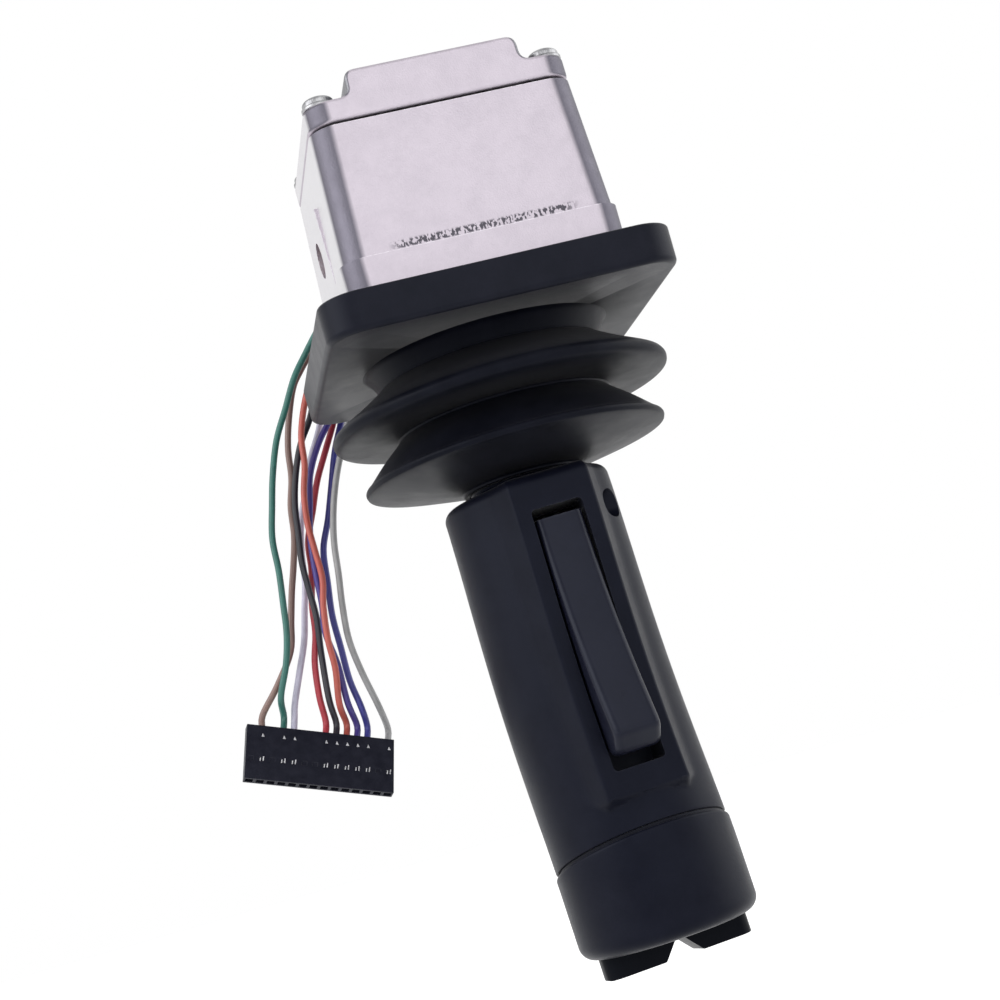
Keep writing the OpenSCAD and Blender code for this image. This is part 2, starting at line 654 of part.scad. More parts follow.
module way_hole(i, s) {
    translate([(i - (ways + 1) / 2) * pitch - s / 2, -s / 2, 0]) children();
}
module plug() {
    hole = 1.7;
    deep = 9;
    color(chip_black) at_plug() difference() {
        translate([-plug_w / 2, -plug_t / 2, -plug_h / 2]) cube([plug_w, plug_t, plug_h]);
        for (i = [1 : ways]) {
            way_hole(i, hole) translate([0, 0, -plug_h / 2 - eps]) cube([hole, hole, deep + eps]);
            way_hole(i, 1.2) translate([0, -plug_t, 0.2]) cube([1.2, plug_t, 2.2]);
        }
    }
}
module plug_contacts() {
    metal = 1.3;
    color(steel) at_plug() for (i = used_ways) way_hole(i, metal)
        translate([0, 0, -plug_h / 2 + 0.8]) difference() {
            cube([metal, metal, 8]);
            translate([0.3, 0.3, -eps]) cube([metal - 0.6, metal - 0.6, 7]);
        }
}

// ---------- lever body ----------
module axle() {
    color(steel) translate([0, 0, pivot_z]) difference() {
        along_x(-pivot_half + bush_recess + axle_in, pivot_half - bush_recess - axle_in, axle_r - run / 2);
        for (s = [-1, 1]) translate([s * clip_x - clip_t / 2, 0, 0]) difference() {
            along_x(0, clip_t, axle_r + 1);
            along_x(-eps, clip_t + eps, axle_r - clip_deep);
        }
    }
}
module axle_clips() {
    color(steel) for (s = [-1, 1]) translate([s * clip_x - clip_t / 2 + run, 0, pivot_z]) difference() {
        along_x(0, clip_t - 2 * run, axle_r + clip_ring);
        along_x(-eps, clip_t + eps, axle_r - clip_deep + fit);
        translate([-eps, -clip_mouth, -2 * axle_r]) cube([clip_t + 2 * eps, 2 * clip_mouth, 2 * axle_r]);
    }
}
module hub() {
    color(aluminium) difference() {
        union() {
            translate([0, 0, pivot_z]) along_x(-hub_half, hub_half, hub_r);
            translate([0, 0, pivot_z]) along_x(-hub_boss_x, hub_boss_x, hub_boss_r);
            translate([0, 0, hub_foot_z]) cylinder(h = pivot_z - hub_foot_z, r = hub_arm_r);
            translate([-4.5, -4.5, pivot_z]) cube([9, 9, magnet_top - pivot_z]);
            translate([hub_half - 5, -peg_y - stop_r, pivot_z - ear_h / 2]) cube([5, peg_y + stop_r, ear_h]);
            translate([0, -peg_y, pivot_z]) along_x(hub_half - 1, hub_boss_x, stop_r);
        }
        translate([0, 0, pivot_z]) along_x(-hub_boss_x - 1, hub_boss_x + 1, axle_r);
        translate([0, 0, hub_foot_z - 1]) cylinder(h = shaft_top - hub_foot_z + 1, r = shaft_r + fit);
        translate([0, 0, hub_screw_z]) along_x(-hub_arm_r - 1, hub_arm_r + 1, pin_r + fit);
        translate([0, 0, magnet_top - magnet_t]) cylinder(h = magnet_t + eps, r = magnet_r + fit);
    }
}
module hub_screws() {
    color(steel) for (s = [0, 1]) mirror([s, 0, 0]) translate([0, 0, hub_screw_z]) difference() {
        along_x(shaft_bore_r + 0.4, hub_arm_r - 0.2, pin_r);
        translate([hub_arm_r - 1.4, 0, 0]) rotate([0, 90, 0]) cylinder(h = 2, r = 0.8, $fn = 6);
    }
}
module hub_magnet() {
    color(steel) translate([0, 0, magnet_top - magnet_t]) cylinder(h = magnet_t, r = magnet_r);
}
module lever_shaft() {
    color(steel) difference() {
        translate([0, 0, -socket_z]) cylinder(h = socket_z + shaft_top, r = shaft_r);
        translate([0, 0, -socket_z - eps]) cylinder(h = socket_z + shaft_top + 2 * eps, r = shaft_bore_r);
        translate([0, 0, hub_screw_z]) along_x(-hub_arm_r, hub_arm_r, pin_r + fit);
    }
}
// the leaning stem that carries the grip, brazed over the shaft's lower end
module grip_stem() {
    color(steel) difference() {
        on_grip() union() {
            translate([0, 0, -shaft_end]) cylinder(h = shaft_end - socket_z, r = shaft_r);
            translate([0, 0, -socket_end]) cylinder(h = socket_end - socket_top, r = socket_r);
        }
        translate([0, 0, -socket_z]) cylinder(h = socket_z, r = shaft_r + fit);
        on_grip() translate([0, 0, -shaft_end - eps]) cylinder(h = shaft_end - socket_z + 2, r = shaft_bore_r);
        on_grip() translate([0, 0, -grip_pin_z]) along_x(-core_r, core_r, pin_r + fit);
    }
}
module boot_collar() {
    color(plastic) translate([0, 0, -mouth_z]) difference() {
        cylinder(h = collar_h, r = collar_r);
        translate([0, 0, -eps]) cylinder(h = collar_h + 2 * eps, r = shaft_r + fit);
    }
}
module ring_cut(z0, z1, r0, r1) {
    translate([0, 0, -z1]) difference() {
        cylinder(h = z1 - z0, r = r1);
        translate([0, 0, -eps]) cylinder(h = z1 - z0 + 2 * eps, r = r0);
    }
}
// everything above or below a leaning joint plane
module above_joint(z) {
    translate([0, 0, -z]) rotate([-joint_lean, 0, 0]) translate([-cut_half, -cut_half, 0])
        cube(2 * cut_half);
}
module below_joint(z) {
    translate([0, 0, -z]) rotate([-joint_lean, 0, 0]) translate([-cut_half, -cut_half, -2 * cut_half])
        cube(2 * cut_half);
}
module grip() {
    inner_r = grip_r_top - grip_wall;
    color(plastic) on_grip() difference() {
        union() {
            difference() {
                union() {
                    translate([0, 0, -grip_end - joint_drop])
                        cylinder(h = grip_end + joint_drop - grip_top - grip_fillet,
                            r1 = grip_r_end, r2 = grip_r_top);
                    rotate_extrude() intersection() {
                        union() {
                            translate([0, -grip_top - grip_fillet - 0.1])
                                square([grip_r_top - grip_fillet, grip_fillet + 0.1]);
                            translate([grip_r_top - grip_fillet, -grip_top - grip_fillet]) circle(grip_fillet);
                        }
                        translate([0, -grip_top - grip_fillet - 0.1]) square([grip_r_top, grip_fillet + 0.1]);
                    }
                    translate([0, 0, -pad_end]) linear_extrude(pad_end - grip_top - 1.2)
                        polygon([[-pad_foot_half, -grip_r_top * 0.7], [-pad_half_w, -pad_y],
                                 [pad_half_w, -pad_y], [pad_foot_half, -grip_r_top * 0.7],
                                 [pad_foot_half, 0], [-pad_foot_half, 0]]);
                }
                translate([0, 0, -grip_end - joint_drop - eps])
                    cylinder(h = grip_end + joint_drop - block_end + eps, r = inner_r);
                below_joint(grip_end);
            }
            translate([0, 0, -core_end]) cylinder(h = core_end - block_end + 1, r = core_r);
            translate([-rib_t / 2, 0, -core_end]) cube([rib_t, inner_r + 1, core_end - block_end + 1]);
            for (s = [-1, 1]) translate([s * (core_r + inner_r) / 2 - inner_r / 3, 2, -core_end])
                cube([inner_r * 2 / 3, rib_t, core_end - block_end + 1]);
            translate([-4, -core_r - 0.4, -core_end]) cube([8, core_r, 20]);
        }
        // slot for the trigger
        translate([-slot_half, -pad_y - 2, -slot_end]) cube([2 * slot_half, pad_y + 2 - inner_r + 1.2,
            slot_end - slot_top]);
        translate([-slot_half, -pad_y - 2, -block_end - 1])
            cube([2 * slot_half, pad_y + 2 - slot_back, block_end + 1 - slot_top]);
        // bores
        translate([0, 0, -core_end - 1]) cylinder(h = core_end - crank_z + 1, r = shaft_r + fit);
        translate([0, 0, -block_end]) cylinder(h = block_end - grip_top + 2, r = socket_r + 0.4);
        translate([0, -hinge_y, -hinge_z]) {
            along_x(-pin_half - air, pin_half, hinge_pin_r + fit);
            along_x(10, grip_r_end + 2, access_r);
            along_x(-slot_half, slot_half, barrel_r + 2 * air);
        }
        translate([0, 0, -grip_pin_z]) along_x(-core_r - 1, core_r + 1, pin_r + fit);
        translate([0, 0, -spring2_z]) along_y(-core_r - 1, -core_r + seat_deep, spring2_r + 0.8);
    }
}
module grip_pins() {
    color(steel) on_grip() translate([0, 0, -grip_pin_z]) for (s = [0, 1]) mirror([s, 0, 0])
        along_x(shaft_bore_r + 0.4, core_r - 0.3, pin_r);
}
module grip_lead() {
    low = turn_y([0, 0, crank_z - rocker_board_z + 0.3], -grip_lean);
    color(chip_black) tube([[0, 0, shaft_top - 1], [0, 0, -20], [0, 0, 2 - crank_z],
        [low[0] * 0.06, 0, -crank_z - 5], [low[0], 0, low[2] - crank_z]], lead_r);
}
module hinge_pin() {
    color(steel) on_grip() translate([0, -hinge_y, -hinge_z]) along_x(-pin_half, 9.5, hinge_pin_r);
}
module trigger_spring() {
    seat = core_r - seat_deep;
    color(steel) on_grip() translate([0, -trigger_back - seat_deep + run, -spring2_z]) rotate([-90, 0, 0])
        ribbed_sleeve(spring2_r, 0.35, trigger_back + seat_deep - seat - 2 * run);
}
module trigger_board() {
    color(board_green) on_grip() translate([0, -core_r - 0.4, -mag2_z]) {
        translate([-3.8, -1.2, -7]) cube([7.6, 1.2, 14]);
        translate([-1.5, -2.2, -1.5]) cube([3, 1.1, 3]);
    }
}
module seal_ring() {
    color(chip_black) on_grip() difference() {
        ring_cut(grip_end - joint_drop - 1, cap_top + joint_drop + 1, grip_r_top - grip_wall, grip_r_end - 0.7);
        above_joint(grip_end);
        below_joint(cap_top);
    }
}
module end_cap() {
    outer = cap_r - cap_fillet;
    bore = cap_r - cap_wall;
    cap_high = cap_top - joint_drop - 1;
    color(plastic) on_grip() difference() {
        union() {
            difference() {
                rotate_extrude() union() {
                    translate([0, -cap_end]) square([outer, cap_end - cap_high]);
                    translate([0, -cap_end + cap_fillet]) square([cap_r, cap_end - cap_fillet - cap_high]);
                    translate([outer, -cap_end + cap_fillet]) circle(cap_fillet);
                }
                translate([0, 0, -cap_end + cap_floor]) cylinder(h = cap_end, r = bore);
                above_joint(cap_top);
            }
            ring_cut(cap_top - spigot_h, spigot_low, grip_r_top - grip_wall - spigot_t,
                grip_r_top - grip_wall - 0.1);
            ring_cut(spigot_low - spigot_web_t, spigot_low, grip_r_top - grip_wall - spigot_t, cap_r - 1);
            for (s = [0, 1]) mirror([0, s, 0])
                translate([-web_half, web_y, -cap_end + 1]) cube([2 * web_half, web_t,
                    cap_end - 1 - rocker_axis + 3]);
            for (x = [-1, 1], y = [-1, 1]) translate([x * rocker_post_x, y * rocker_post_y, -cap_end + 1])
                cylinder(h = cap_end - 1 - rocker_board_z - rocker_board_t, r = m2_post_r);
        }
        translate([-rocker_half - 0.9, -rocker_half_w - rocker_gap, -cap_end - 1])
            cube([2 * rocker_half + 1.8, 2 * (rocker_half_w + rocker_gap), cap_floor + 2]);
        translate([0, 0, -rocker_axis]) along_y(-web_y - web_t, web_y + web_t, rocker_pin_r + fit);
        for (x = [-1, 1], y = [-1, 1]) translate([x * rocker_post_x, y * rocker_post_y, -cap_end + 4])
            cylinder(h = cap_end - rocker_board_z, r = m2_tap_r);
    }
}
module rocker_pin() {
    color(steel) on_grip() translate([0, 0, -rocker_axis])
        along_y(-web_y - web_t + 0.1, web_y + web_t - 0.1, rocker_pin_r);
}
module rocker_board() {
    color(board_green) on_grip() difference() {
        union() {
            translate([0, 0, -rocker_board_z - rocker_board_t])
                cylinder(h = rocker_board_t, r = rocker_board_r);
            for (s = [-1, 1]) translate([s * mag3_x - 1.2, -1.5, -rocker_board_z - rocker_board_t - 1])
                cube([2.4, 3, 1.1]);
        }
        for (x = [-1, 1], y = [-1, 1])
            translate([x * rocker_post_x, y * rocker_post_y, -rocker_board_z - rocker_board_t - eps])
                cylinder(h = rocker_board_t + 2 * eps, r = m2_clear_r);
    }
}
module rocker_screws() {
    color(steel) on_grip() for (x = [-1, 1], y = [-1, 1])
        translate([x * rocker_post_x, y * rocker_post_y, 0])
            pan_screw(-rocker_board_z, m2_head_r, m2_head_h, m2_tap_r - run, m2_clear_r - 2 * run, rocker_board_t,
                rocker_board_t + m2_bite);
}
module rocker_springs() {
    color(steel) on_grip() for (s = [-1, 1])
        translate([s * spring3_x, 0, -wing_top + run])
            ribbed_sleeve(spring3_r, 0.3, wing_top - rocker_board_z - rocker_board_t - 2 * run);
}

// ---------- trigger body ----------
module trigger() {
    front = hinge_y + barrel_r + 6.3;
    color(plastic) on_grip() difference() {
        union() {
            translate([-trigger_w / 2, 0, 0]) rotate([90, 0, 90]) linear_extrude(trigger_w)
                polygon([[-front, -trigger_start], [-trigger_reach, -trigger_end + 3],
                         [-trigger_reach + 2.4, -trigger_end], [-trigger_reach + 7, -trigger_end],
                         [-trigger_back - 0.8, -trigger_end + 4], [-trigger_back, -spring2_z - 6],
                         [-trigger_back, -spring2_z + 6], [-hinge_y - 1, -hinge_z - barrel_r - 4],
                         [-hinge_y, -hinge_z], [-hinge_y - 2, -trigger_start + 1.6]]);
            translate([0, -hinge_y, -hinge_z]) along_x(-trigger_w / 2, trigger_w / 2, barrel_r);
        }
        translate([0, -hinge_y, -hinge_z]) along_x(-trigger_w, trigger_w, hinge_pin_r + run);
        translate([0, 0, -spring2_z]) along_y(-trigger_back - seat_deep, -trigger_back + eps, spring2_r + 0.8);
        translate([0, 0, -mag2_z]) along_y(-trigger_back - mag2_t - 0.8, -trigger_back + 2, mag2_r + fit);
    }
}
module trigger_magnet() {
    color(steel) on_grip() translate([0, 0, -mag2_z])
        along_y(-trigger_back - mag2_t - 0.8, -trigger_back - 0.8, mag2_r);
}

// ---------- rocker body ----------
module rocker() {
    low = -rocker_end;
    color(plastic) on_grip() difference() {
        union() {
            translate([0, rocker_half_w, 0]) rotate([90, 0, 0]) linear_extrude(2 * rocker_half_w)
                polygon([[-rocker_half, low + 0.8], [-rocker_half + 0.8, low], [-notch_half - 0.6, low],
                         [-notch_half, low + 0.4], [-0.7, -cap_end - 0.4], [0.7, -cap_end - 0.4],
                         [notch_half, low + 0.4], [notch_half + 0.6, low], [rocker_half - 0.8, low],
                         [rocker_half, low + 0.8], [rocker_half, -cap_end + 1.2], [wing_half, -cap_end + 2.6],
                         [wing_half, -wing_top], [-wing_half, -wing_top], [-wing_half, -cap_end + 2.6],
                         [-rocker_half, -cap_end + 1.2]]);
            translate([0, 0, -rocker_axis]) along_y(-rocker_half_w, rocker_half_w, 3.2);
        }
        translate([0, 0, -rocker_axis]) along_y(-rocker_half_w - 1, rocker_half_w + 1, rocker_pin_r + run);
        for (s = [-1, 1]) translate([s * mag3_x, 0, -wing_top - mag3_t])
            cylinder(h = mag3_t + 1, r = mag3_r + fit);
    }
}
module rocker_magnets() {
    color(steel) on_grip() for (s = [-1, 1]) translate([s * mag3_x, 0, -wing_top - mag3_t])
        cylinder(h = mag3_t, r = mag3_r);
}

housing();
cover();
cover_gasket();
cover_screws();
cover_washers();
mounting_plate();
plate_screws();
boot_flange();
boot_bellows();
bush_left();
bush_right();
spring_post();
centring_spring();
sensor_board();
hall_sensors();
board_components();
board_screws();
grommet();
wire_green();
wire_brown();
wire_white();
wire_red();
wire_black();
wire_orange();
wire_violet();
wire_blue();
wire_grey();
plug();
plug_contacts();
axle();
axle_clips();
hub();
hub_screws();
hub_magnet();
lever_shaft();
grip_stem();
boot_collar();
grip();
grip_pins();
grip_lead();
hinge_pin();
trigger_spring();
trigger_board();
seal_ring();
end_cap();
rocker_pin();
rocker_board();
rocker_screws();
rocker_springs();
trigger();
trigger_magnet();
rocker();
rocker_magnets();
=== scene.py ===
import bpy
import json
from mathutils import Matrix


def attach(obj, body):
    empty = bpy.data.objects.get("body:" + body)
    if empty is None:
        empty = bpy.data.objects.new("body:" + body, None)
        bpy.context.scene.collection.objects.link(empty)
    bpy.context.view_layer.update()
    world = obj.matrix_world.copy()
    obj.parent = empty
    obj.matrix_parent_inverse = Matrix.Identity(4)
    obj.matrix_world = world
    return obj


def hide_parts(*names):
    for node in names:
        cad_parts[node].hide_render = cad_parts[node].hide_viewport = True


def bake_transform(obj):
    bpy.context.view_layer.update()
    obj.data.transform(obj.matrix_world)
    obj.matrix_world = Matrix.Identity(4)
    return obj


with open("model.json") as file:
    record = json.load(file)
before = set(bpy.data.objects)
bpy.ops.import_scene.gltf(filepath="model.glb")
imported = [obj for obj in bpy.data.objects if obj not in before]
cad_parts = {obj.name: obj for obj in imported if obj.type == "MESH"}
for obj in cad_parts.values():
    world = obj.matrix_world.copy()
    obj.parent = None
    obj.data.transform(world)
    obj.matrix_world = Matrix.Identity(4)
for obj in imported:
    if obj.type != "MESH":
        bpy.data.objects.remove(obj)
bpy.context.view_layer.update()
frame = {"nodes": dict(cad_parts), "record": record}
import json
import math
import bpy
import bmesh
from mathutils import Matrix, Vector

mm = 0.001
pole = 0.001  # in mm, a ring so small that it closes a turned shape
scene = bpy.context.scene
scene.view_settings.view_transform = "Standard"

# the camera
cameraSpec = {
    "lens": 70.586, "sensor": 36.0, "place": (-85.7205, -420.0508, -108.8312),
    "right": (0.95254713, -0.13772897, -0.27144925),
    "up": (0.24246356, -0.19582522, 0.95019151),
    "forward": (0.18402551, 0.97091875, 0.15313849), "clip": (0.01, 20),
}


def makeCamera(spec):
    data = bpy.data.cameras.new("camera")
    data.lens, data.sensor_width = spec["lens"], spec["sensor"]
    data.clip_start, data.clip_end = spec["clip"]
    cam = bpy.data.objects.new("camera", data)
    scene.collection.objects.link(cam)
    right, up, ahead = (Vector(spec[k]) for k in ("right", "up", "forward"))
    turn = Matrix((right, up, -ahead)).transposed().to_4x4()
    cam.matrix_world = Matrix.Translation(Vector(spec["place"]) * mm) @ turn
    scene.camera = cam


makeCamera(cameraSpec)
print("camera set")

# small helpers for meshes


def link(obj):
    scene.collection.objects.link(obj)
    return obj


def setSmooth(mesh, smooth):
    for face in mesh.polygons:
        face.use_smooth = smooth


def meshPiece(name, points, faces, smooth=True):
    mesh = bpy.data.meshes.new(name)
    mesh.from_pydata([tuple(p) for p in points], [], faces)
    mesh.update()
    obj = link(bpy.data.objects.new(name, mesh))
    if smooth:
        setSmooth(mesh, True)
    return obj


def reshape(obj, change):
    # runs one change on the piece's own mesh
    work = bmesh.new()
    work.from_mesh(obj.data)
    change(work)
    work.to_mesh(obj.data)
    work.free()
    return obj


def faceOutwards(obj):
    def change(work):
        bmesh.ops.remove_doubles(work, verts=work.verts, dist=1e-6)
        bmesh.ops.recalc_face_normals(work, faces=work.faces)
    return reshape(obj, change)


def cleaned(obj, dist=2e-6, angle=0.5):
    # welds close points, then joins faces that lie in one plane
    def change(work):
        bmesh.ops.remove_doubles(work, verts=work.verts, dist=dist)
        bmesh.ops.dissolve_limit(work, angle_limit=math.radians(angle), verts=work.verts, edges=work.edges)
    return reshape(obj, change)


def shadeByAngle(obj, angle):
    def change(work):
        for face in work.faces:
            face.smooth = True
        for edge in work.edges:
            edge.smooth = len(edge.link_faces) == 2 and edge.calc_face_angle(0) < math.radians(angle)
    return reshape(obj, change)


def bakeModifiers(obj):
    bpy.context.view_layer.update()
    graph = bpy.context.evaluated_depsgraph_get()
    mesh = bpy.data.meshes.new_from_object(obj.evaluated_get(graph))
    obj.modifiers.clear()
    old = obj.data
    obj.data = mesh
    bpy.data.meshes.remove(old)
    return obj


def drop(obj):
    bpy.data.objects.remove(obj, do_unlink=True)


def moveInMm(obj, matrix):
    # applies a matrix written in millimetres
    obj.data.transform(Matrix.Scale(mm, 4) @ matrix @ Matrix.Scale(1 / mm, 4))


def dress(obj, material, body, slot, *nodes):
    obj.data.materials.clear()
    obj.data.materials.append(material)
    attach(obj, body)
    if nodes:
        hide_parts(*nodes)
    return obj


def evenNormals(obj):
    even = obj.modifiers.new("even", "WEIGHTED_NORMAL")
    even.keep_sharp = True
    return bakeModifiers(obj)


def bevelled(obj, width, segments=3, angle=30):
    # rounds the edges for real, then keeps the flat faces flat
    bevel = obj.modifiers.new("bevel", "BEVEL")
    bevel.width, bevel.segments = width * mm, segments
    bevel.limit_method, bevel.angle_limit = "ANGLE", math.radians(angle)
    bevel.miter_outer = "MITER_ARC"
    setSmooth(obj.data, True)
    return evenNormals(obj)


def cadCopy(node, name, width, segments=3):
    # a merged copy of a CAD node's mesh with rounded edges
    obj = link(bpy.data.objects.new(name, frame["nodes"][node].data.copy()))
    return bevelled(cleaned(obj, angle=1), width, segments)


# helpers for geometry nodes


def newTree(name, inputs):
    tree = bpy.data.node_groups.new(name, "GeometryNodeTree")
    tree.interface.new_socket("Geometry", in_out="INPUT", socket_type="NodeSocketGeometry")
    for label, kind, value in inputs:
        socket = tree.interface.new_socket(label, in_out="INPUT", socket_type=kind)
        if value is not None:
            socket.default_value = value
    tree.interface.new_socket("Geometry", in_out="OUTPUT", socket_type="NodeSocketGeometry")
    return tree, tree.nodes.new("NodeGroupInput"), tree.nodes.new("NodeGroupOutput")


def addNode(tree, kind, links=None, **settings):
    made = tree.nodes.new(kind)
    for key, value in settings.items():
        setattr(made, key, value)
    for socket, source in (links or {}).items():
        if hasattr(source, "is_linked"):
            tree.links.new(source, made.inputs[socket])
        else:
            made.inputs[socket].default_value = source
    return made


def runTree(name, base, tree, values):
    modifier = base.modifiers.new(name, "NODES")
    modifier.node_group = tree
    for item in tree.interface.items_tree:
        if item.in_out == "INPUT" and item.name in values:
            modifier[item.identifier] = values[item.name]
    bakeModifiers(base)
    base.name = name
    return base


def polyline(name, points):
    mesh = bpy.data.meshes.new(name)
    mesh.from_pydata([tuple(p) for p in points], [(i, i + 1) for i in range(len(points) - 1)], [])
    return link(bpy.data.objects.new(name, mesh))


def wireTree():
    tree, start, end = newTree("wireSweep", [
        ("Radius", "NodeSocketFloat", 0.0008), ("Rings", "NodeSocketInt", 90),
        ("Sides", "NodeSocketInt", 12), ("Material", "NodeSocketMaterial", None)])
    line = addNode(tree, "GeometryNodeMeshToCurve", {"Mesh": start.outputs["Geometry"]})
    soft = addNode(tree, "GeometryNodeCurveSplineType", {"Curve": line.outputs["Curve"]},
                   spline_type="CATMULL_ROM")
    even = addNode(tree, "GeometryNodeResampleCurve", {
        "Curve": soft.outputs["Curve"], "Count": start.outputs["Rings"]})
    ring = addNode(tree, "GeometryNodeCurvePrimitiveCircle", {
        "Resolution": start.outputs["Sides"], "Radius": start.outputs["Radius"]})
    skin = addNode(tree, "GeometryNodeCurveToMesh", {
        "Curve": even.outputs["Curve"], "Profile Curve": ring.outputs["Curve"], "Fill Caps": True})
    smooth = addNode(tree, "GeometryNodeSetShadeSmooth", {"Geometry": skin.outputs["Mesh"]})
    whole = addNode(tree, "GeometryNodeRealizeInstances", {"Geometry": smooth.outputs["Geometry"]})
    painted = addNode(tree, "GeometryNodeSetMaterial", {
        "Geometry": whole.outputs["Geometry"], "Material": start.outputs["Material"]})
    tree.links.new(painted.outputs["Geometry"], end.inputs["Geometry"])
    return tree


# shader groups and materials


def shaderGroup(name, inputs, outputs):
    tree = bpy.data.node_groups.new(name, "ShaderNodeTree")
    for label, kind, value in inputs:
        tree.interface.new_socket(label, in_out="INPUT", socket_type=kind).default_value = value
    for label, kind in outputs:
        tree.interface.new_socket(label, in_out="OUTPUT", socket_type=kind)
    return tree, tree.nodes.new("NodeGroupInput"), tree.nodes.new("NodeGroupOutput")


def maths(tree, operation, *values):
    return addNode(tree, "ShaderNodeMath", dict(enumerate(values)), operation=operation).outputs[0]


def between(tree, value, low, high, toLow=0.0, toHigh=1.0):
    return addNode(tree, "ShaderNodeMapRange", {
        "Value": value, "From Min": low, "From Max": high, "To Min": toLow, "To Max": toHigh}).outputs[0]


def grainGroup():
    # two scales of noise as a mask, and a fine bumpy normal
    tree, start, end = shaderGroup("surfaceGrain", [
        ("Blotch Scale", "NodeSocketFloat", 300.0), ("Grain Scale", "NodeSocketFloat", 2500.0),
        ("Bump Height", "NodeSocketFloat", 0.0001)],
        [("Blotch", "NodeSocketFloat"), ("Grain", "NodeSocketFloat"), ("Normal", "NodeSocketVector")])
    point = addNode(tree, "ShaderNodeTexCoord").outputs["Object"]
    blotch = addNode(tree, "ShaderNodeTexNoise", {
        "Vector": point, "Scale": start.outputs["Blotch Scale"], "Detail": 5.0, "Roughness": 0.62})
    grain = addNode(tree, "ShaderNodeTexNoise", {
        "Vector": point, "Scale": start.outputs["Grain Scale"], "Detail": 3.0, "Roughness": 0.6})
    bump = addNode(tree, "ShaderNodeBump", {
        "Height": grain.outputs["Fac"], "Distance": start.outputs["Bump Height"], "Strength": 1.0})
    tree.links.new(blotch.outputs["Fac"], end.inputs["Blotch"])
    tree.links.new(grain.outputs["Fac"], end.inputs["Grain"])
    tree.links.new(bump.outputs["Normal"], end.inputs["Normal"])
    return tree


def edgeGroup():
    # 1 on convex edges and rims, 0 on flat ground
    tree, start, end = shaderGroup("edgeWear", [
        ("Reach", "NodeSocketFloat", 0.0006), ("Breakup", "NodeSocketFloat", 900.0)],
        [("Edge", "NodeSocketFloat"), ("Normal", "NodeSocketVector")])
    soft = addNode(tree, "ShaderNodeBevel", {"Radius": start.outputs["Reach"]}, samples=6)
    flat = addNode(tree, "ShaderNodeNewGeometry")
    dot = addNode(tree, "ShaderNodeVectorMath", {0: soft.outputs["Normal"], 1: flat.outputs["Normal"]},
                  operation="DOT_PRODUCT")
    point = addNode(tree, "ShaderNodeTexCoord").outputs["Object"]
    noise = addNode(tree, "ShaderNodeTexNoise", {
        "Vector": point, "Scale": start.outputs["Breakup"], "Detail": 3.0})
    turned = between(tree, dot.outputs["Value"], 0.995, 0.8)
    patchy = between(tree, noise.outputs["Fac"], 0.35, 0.62)
    tree.links.new(maths(tree, "MULTIPLY", turned, patchy), end.inputs["Edge"])
    tree.links.new(soft.outputs["Normal"], end.inputs["Normal"])
    return tree


grainTree = grainGroup()
edgeTree = edgeGroup()


def groupNode(tree, group, values):
    made = tree.nodes.new("ShaderNodeGroup")
    made.node_tree = group
    for key, value in values.items():
        made.inputs[key].default_value = value
    return made


def blendColour(tree, factor, low, high):
    mix = addNode(tree, "ShaderNodeMix", {}, data_type="RGBA")
    tree.links.new(factor, mix.inputs["Factor"])
    for socket, value in ((6, low), (7, high)):
        if hasattr(value, "is_linked"):
            tree.links.new(value, mix.inputs[socket])
        else:
            mix.inputs[socket].default_value = (*value, 1.0)
    return mix.outputs[2]


plainFinish = {
    "blotchRange": (0.35, 0.65), "glossRange": (0.3, 0.7), "metallic": 0.0, "specular": 0.5,
    "sheen": 0.0, "sheenRough": 0.35, "tint": (1, 1, 1),
}


def finish(name, ownSpec):
    # a material: two tones, grain, worn edges, gloss that varies with the blotches
    spec = {**plainFinish, **ownSpec}
    material = bpy.data.materials.new(name)
    material.use_nodes = True
    tree = material.node_tree
    shader = tree.nodes["Principled BSDF"]
    grain = groupNode(tree, grainTree, {
        "Blotch Scale": spec["blotchScale"], "Grain Scale": spec["grainScale"], "Bump Height": spec["bump"]})
    tone = between(tree, grain.outputs["Blotch"], *spec["blotchRange"])
    colour = blendColour(tree, tone, spec["dark"], spec["light"])
    if "edge" in spec:
        worn = groupNode(tree, edgeTree, {"Reach": spec["edgeReach"]})
        colour = blendColour(tree, worn.outputs["Edge"], colour, spec["edge"])
    if "extra" in spec:
        colour = spec["extra"](tree, colour)
    tree.links.new(colour, shader.inputs["Base Color"])
    rough = between(tree, grain.outputs["Blotch"], *spec["glossRange"], *spec["rough"])
    tree.links.new(rough, shader.inputs["Roughness"])
    tree.links.new(grain.outputs["Normal"], shader.inputs["Normal"])
    for label, key in (("Metallic", "metallic"), ("Specular IOR Level", "specular"),
                       ("Sheen Weight", "sheen"), ("Sheen Roughness", "sheenRough")):
        shader.inputs[label].default_value = spec[key]
    shader.inputs["Specular Tint"].default_value = (*spec["tint"], 1)
    return material


# tones for the painted reflection, painted light and painted shade on the casting, and for its scuffs
scuffsAndPaintedLightSpec = {
    "corner": (0.14, 0.3), "paintedCornerReflection": (0.125, 0.118, 0.145), "left": (-0.9, -0.98),
    "paintedLeftLight": (0.66, 0.65, 0.67), "steep": (0.25, 0.6), "deck": (0.0446, 0.0452),
    "paintedBlockShade": (0.2, 0.2, 0.215), "level": 0.0099, "band": (0.0011, 0.0006), "centre": 0.001,
    "span": (0.021, 0.018), "front": (-0.8, -0.95), "squash": (1.0, 1.0, 0.55), "scale": 1700.0,
    "cut": (0.47, 0.52), "scuffTone": (0.075, 0.07, 0.085),
}


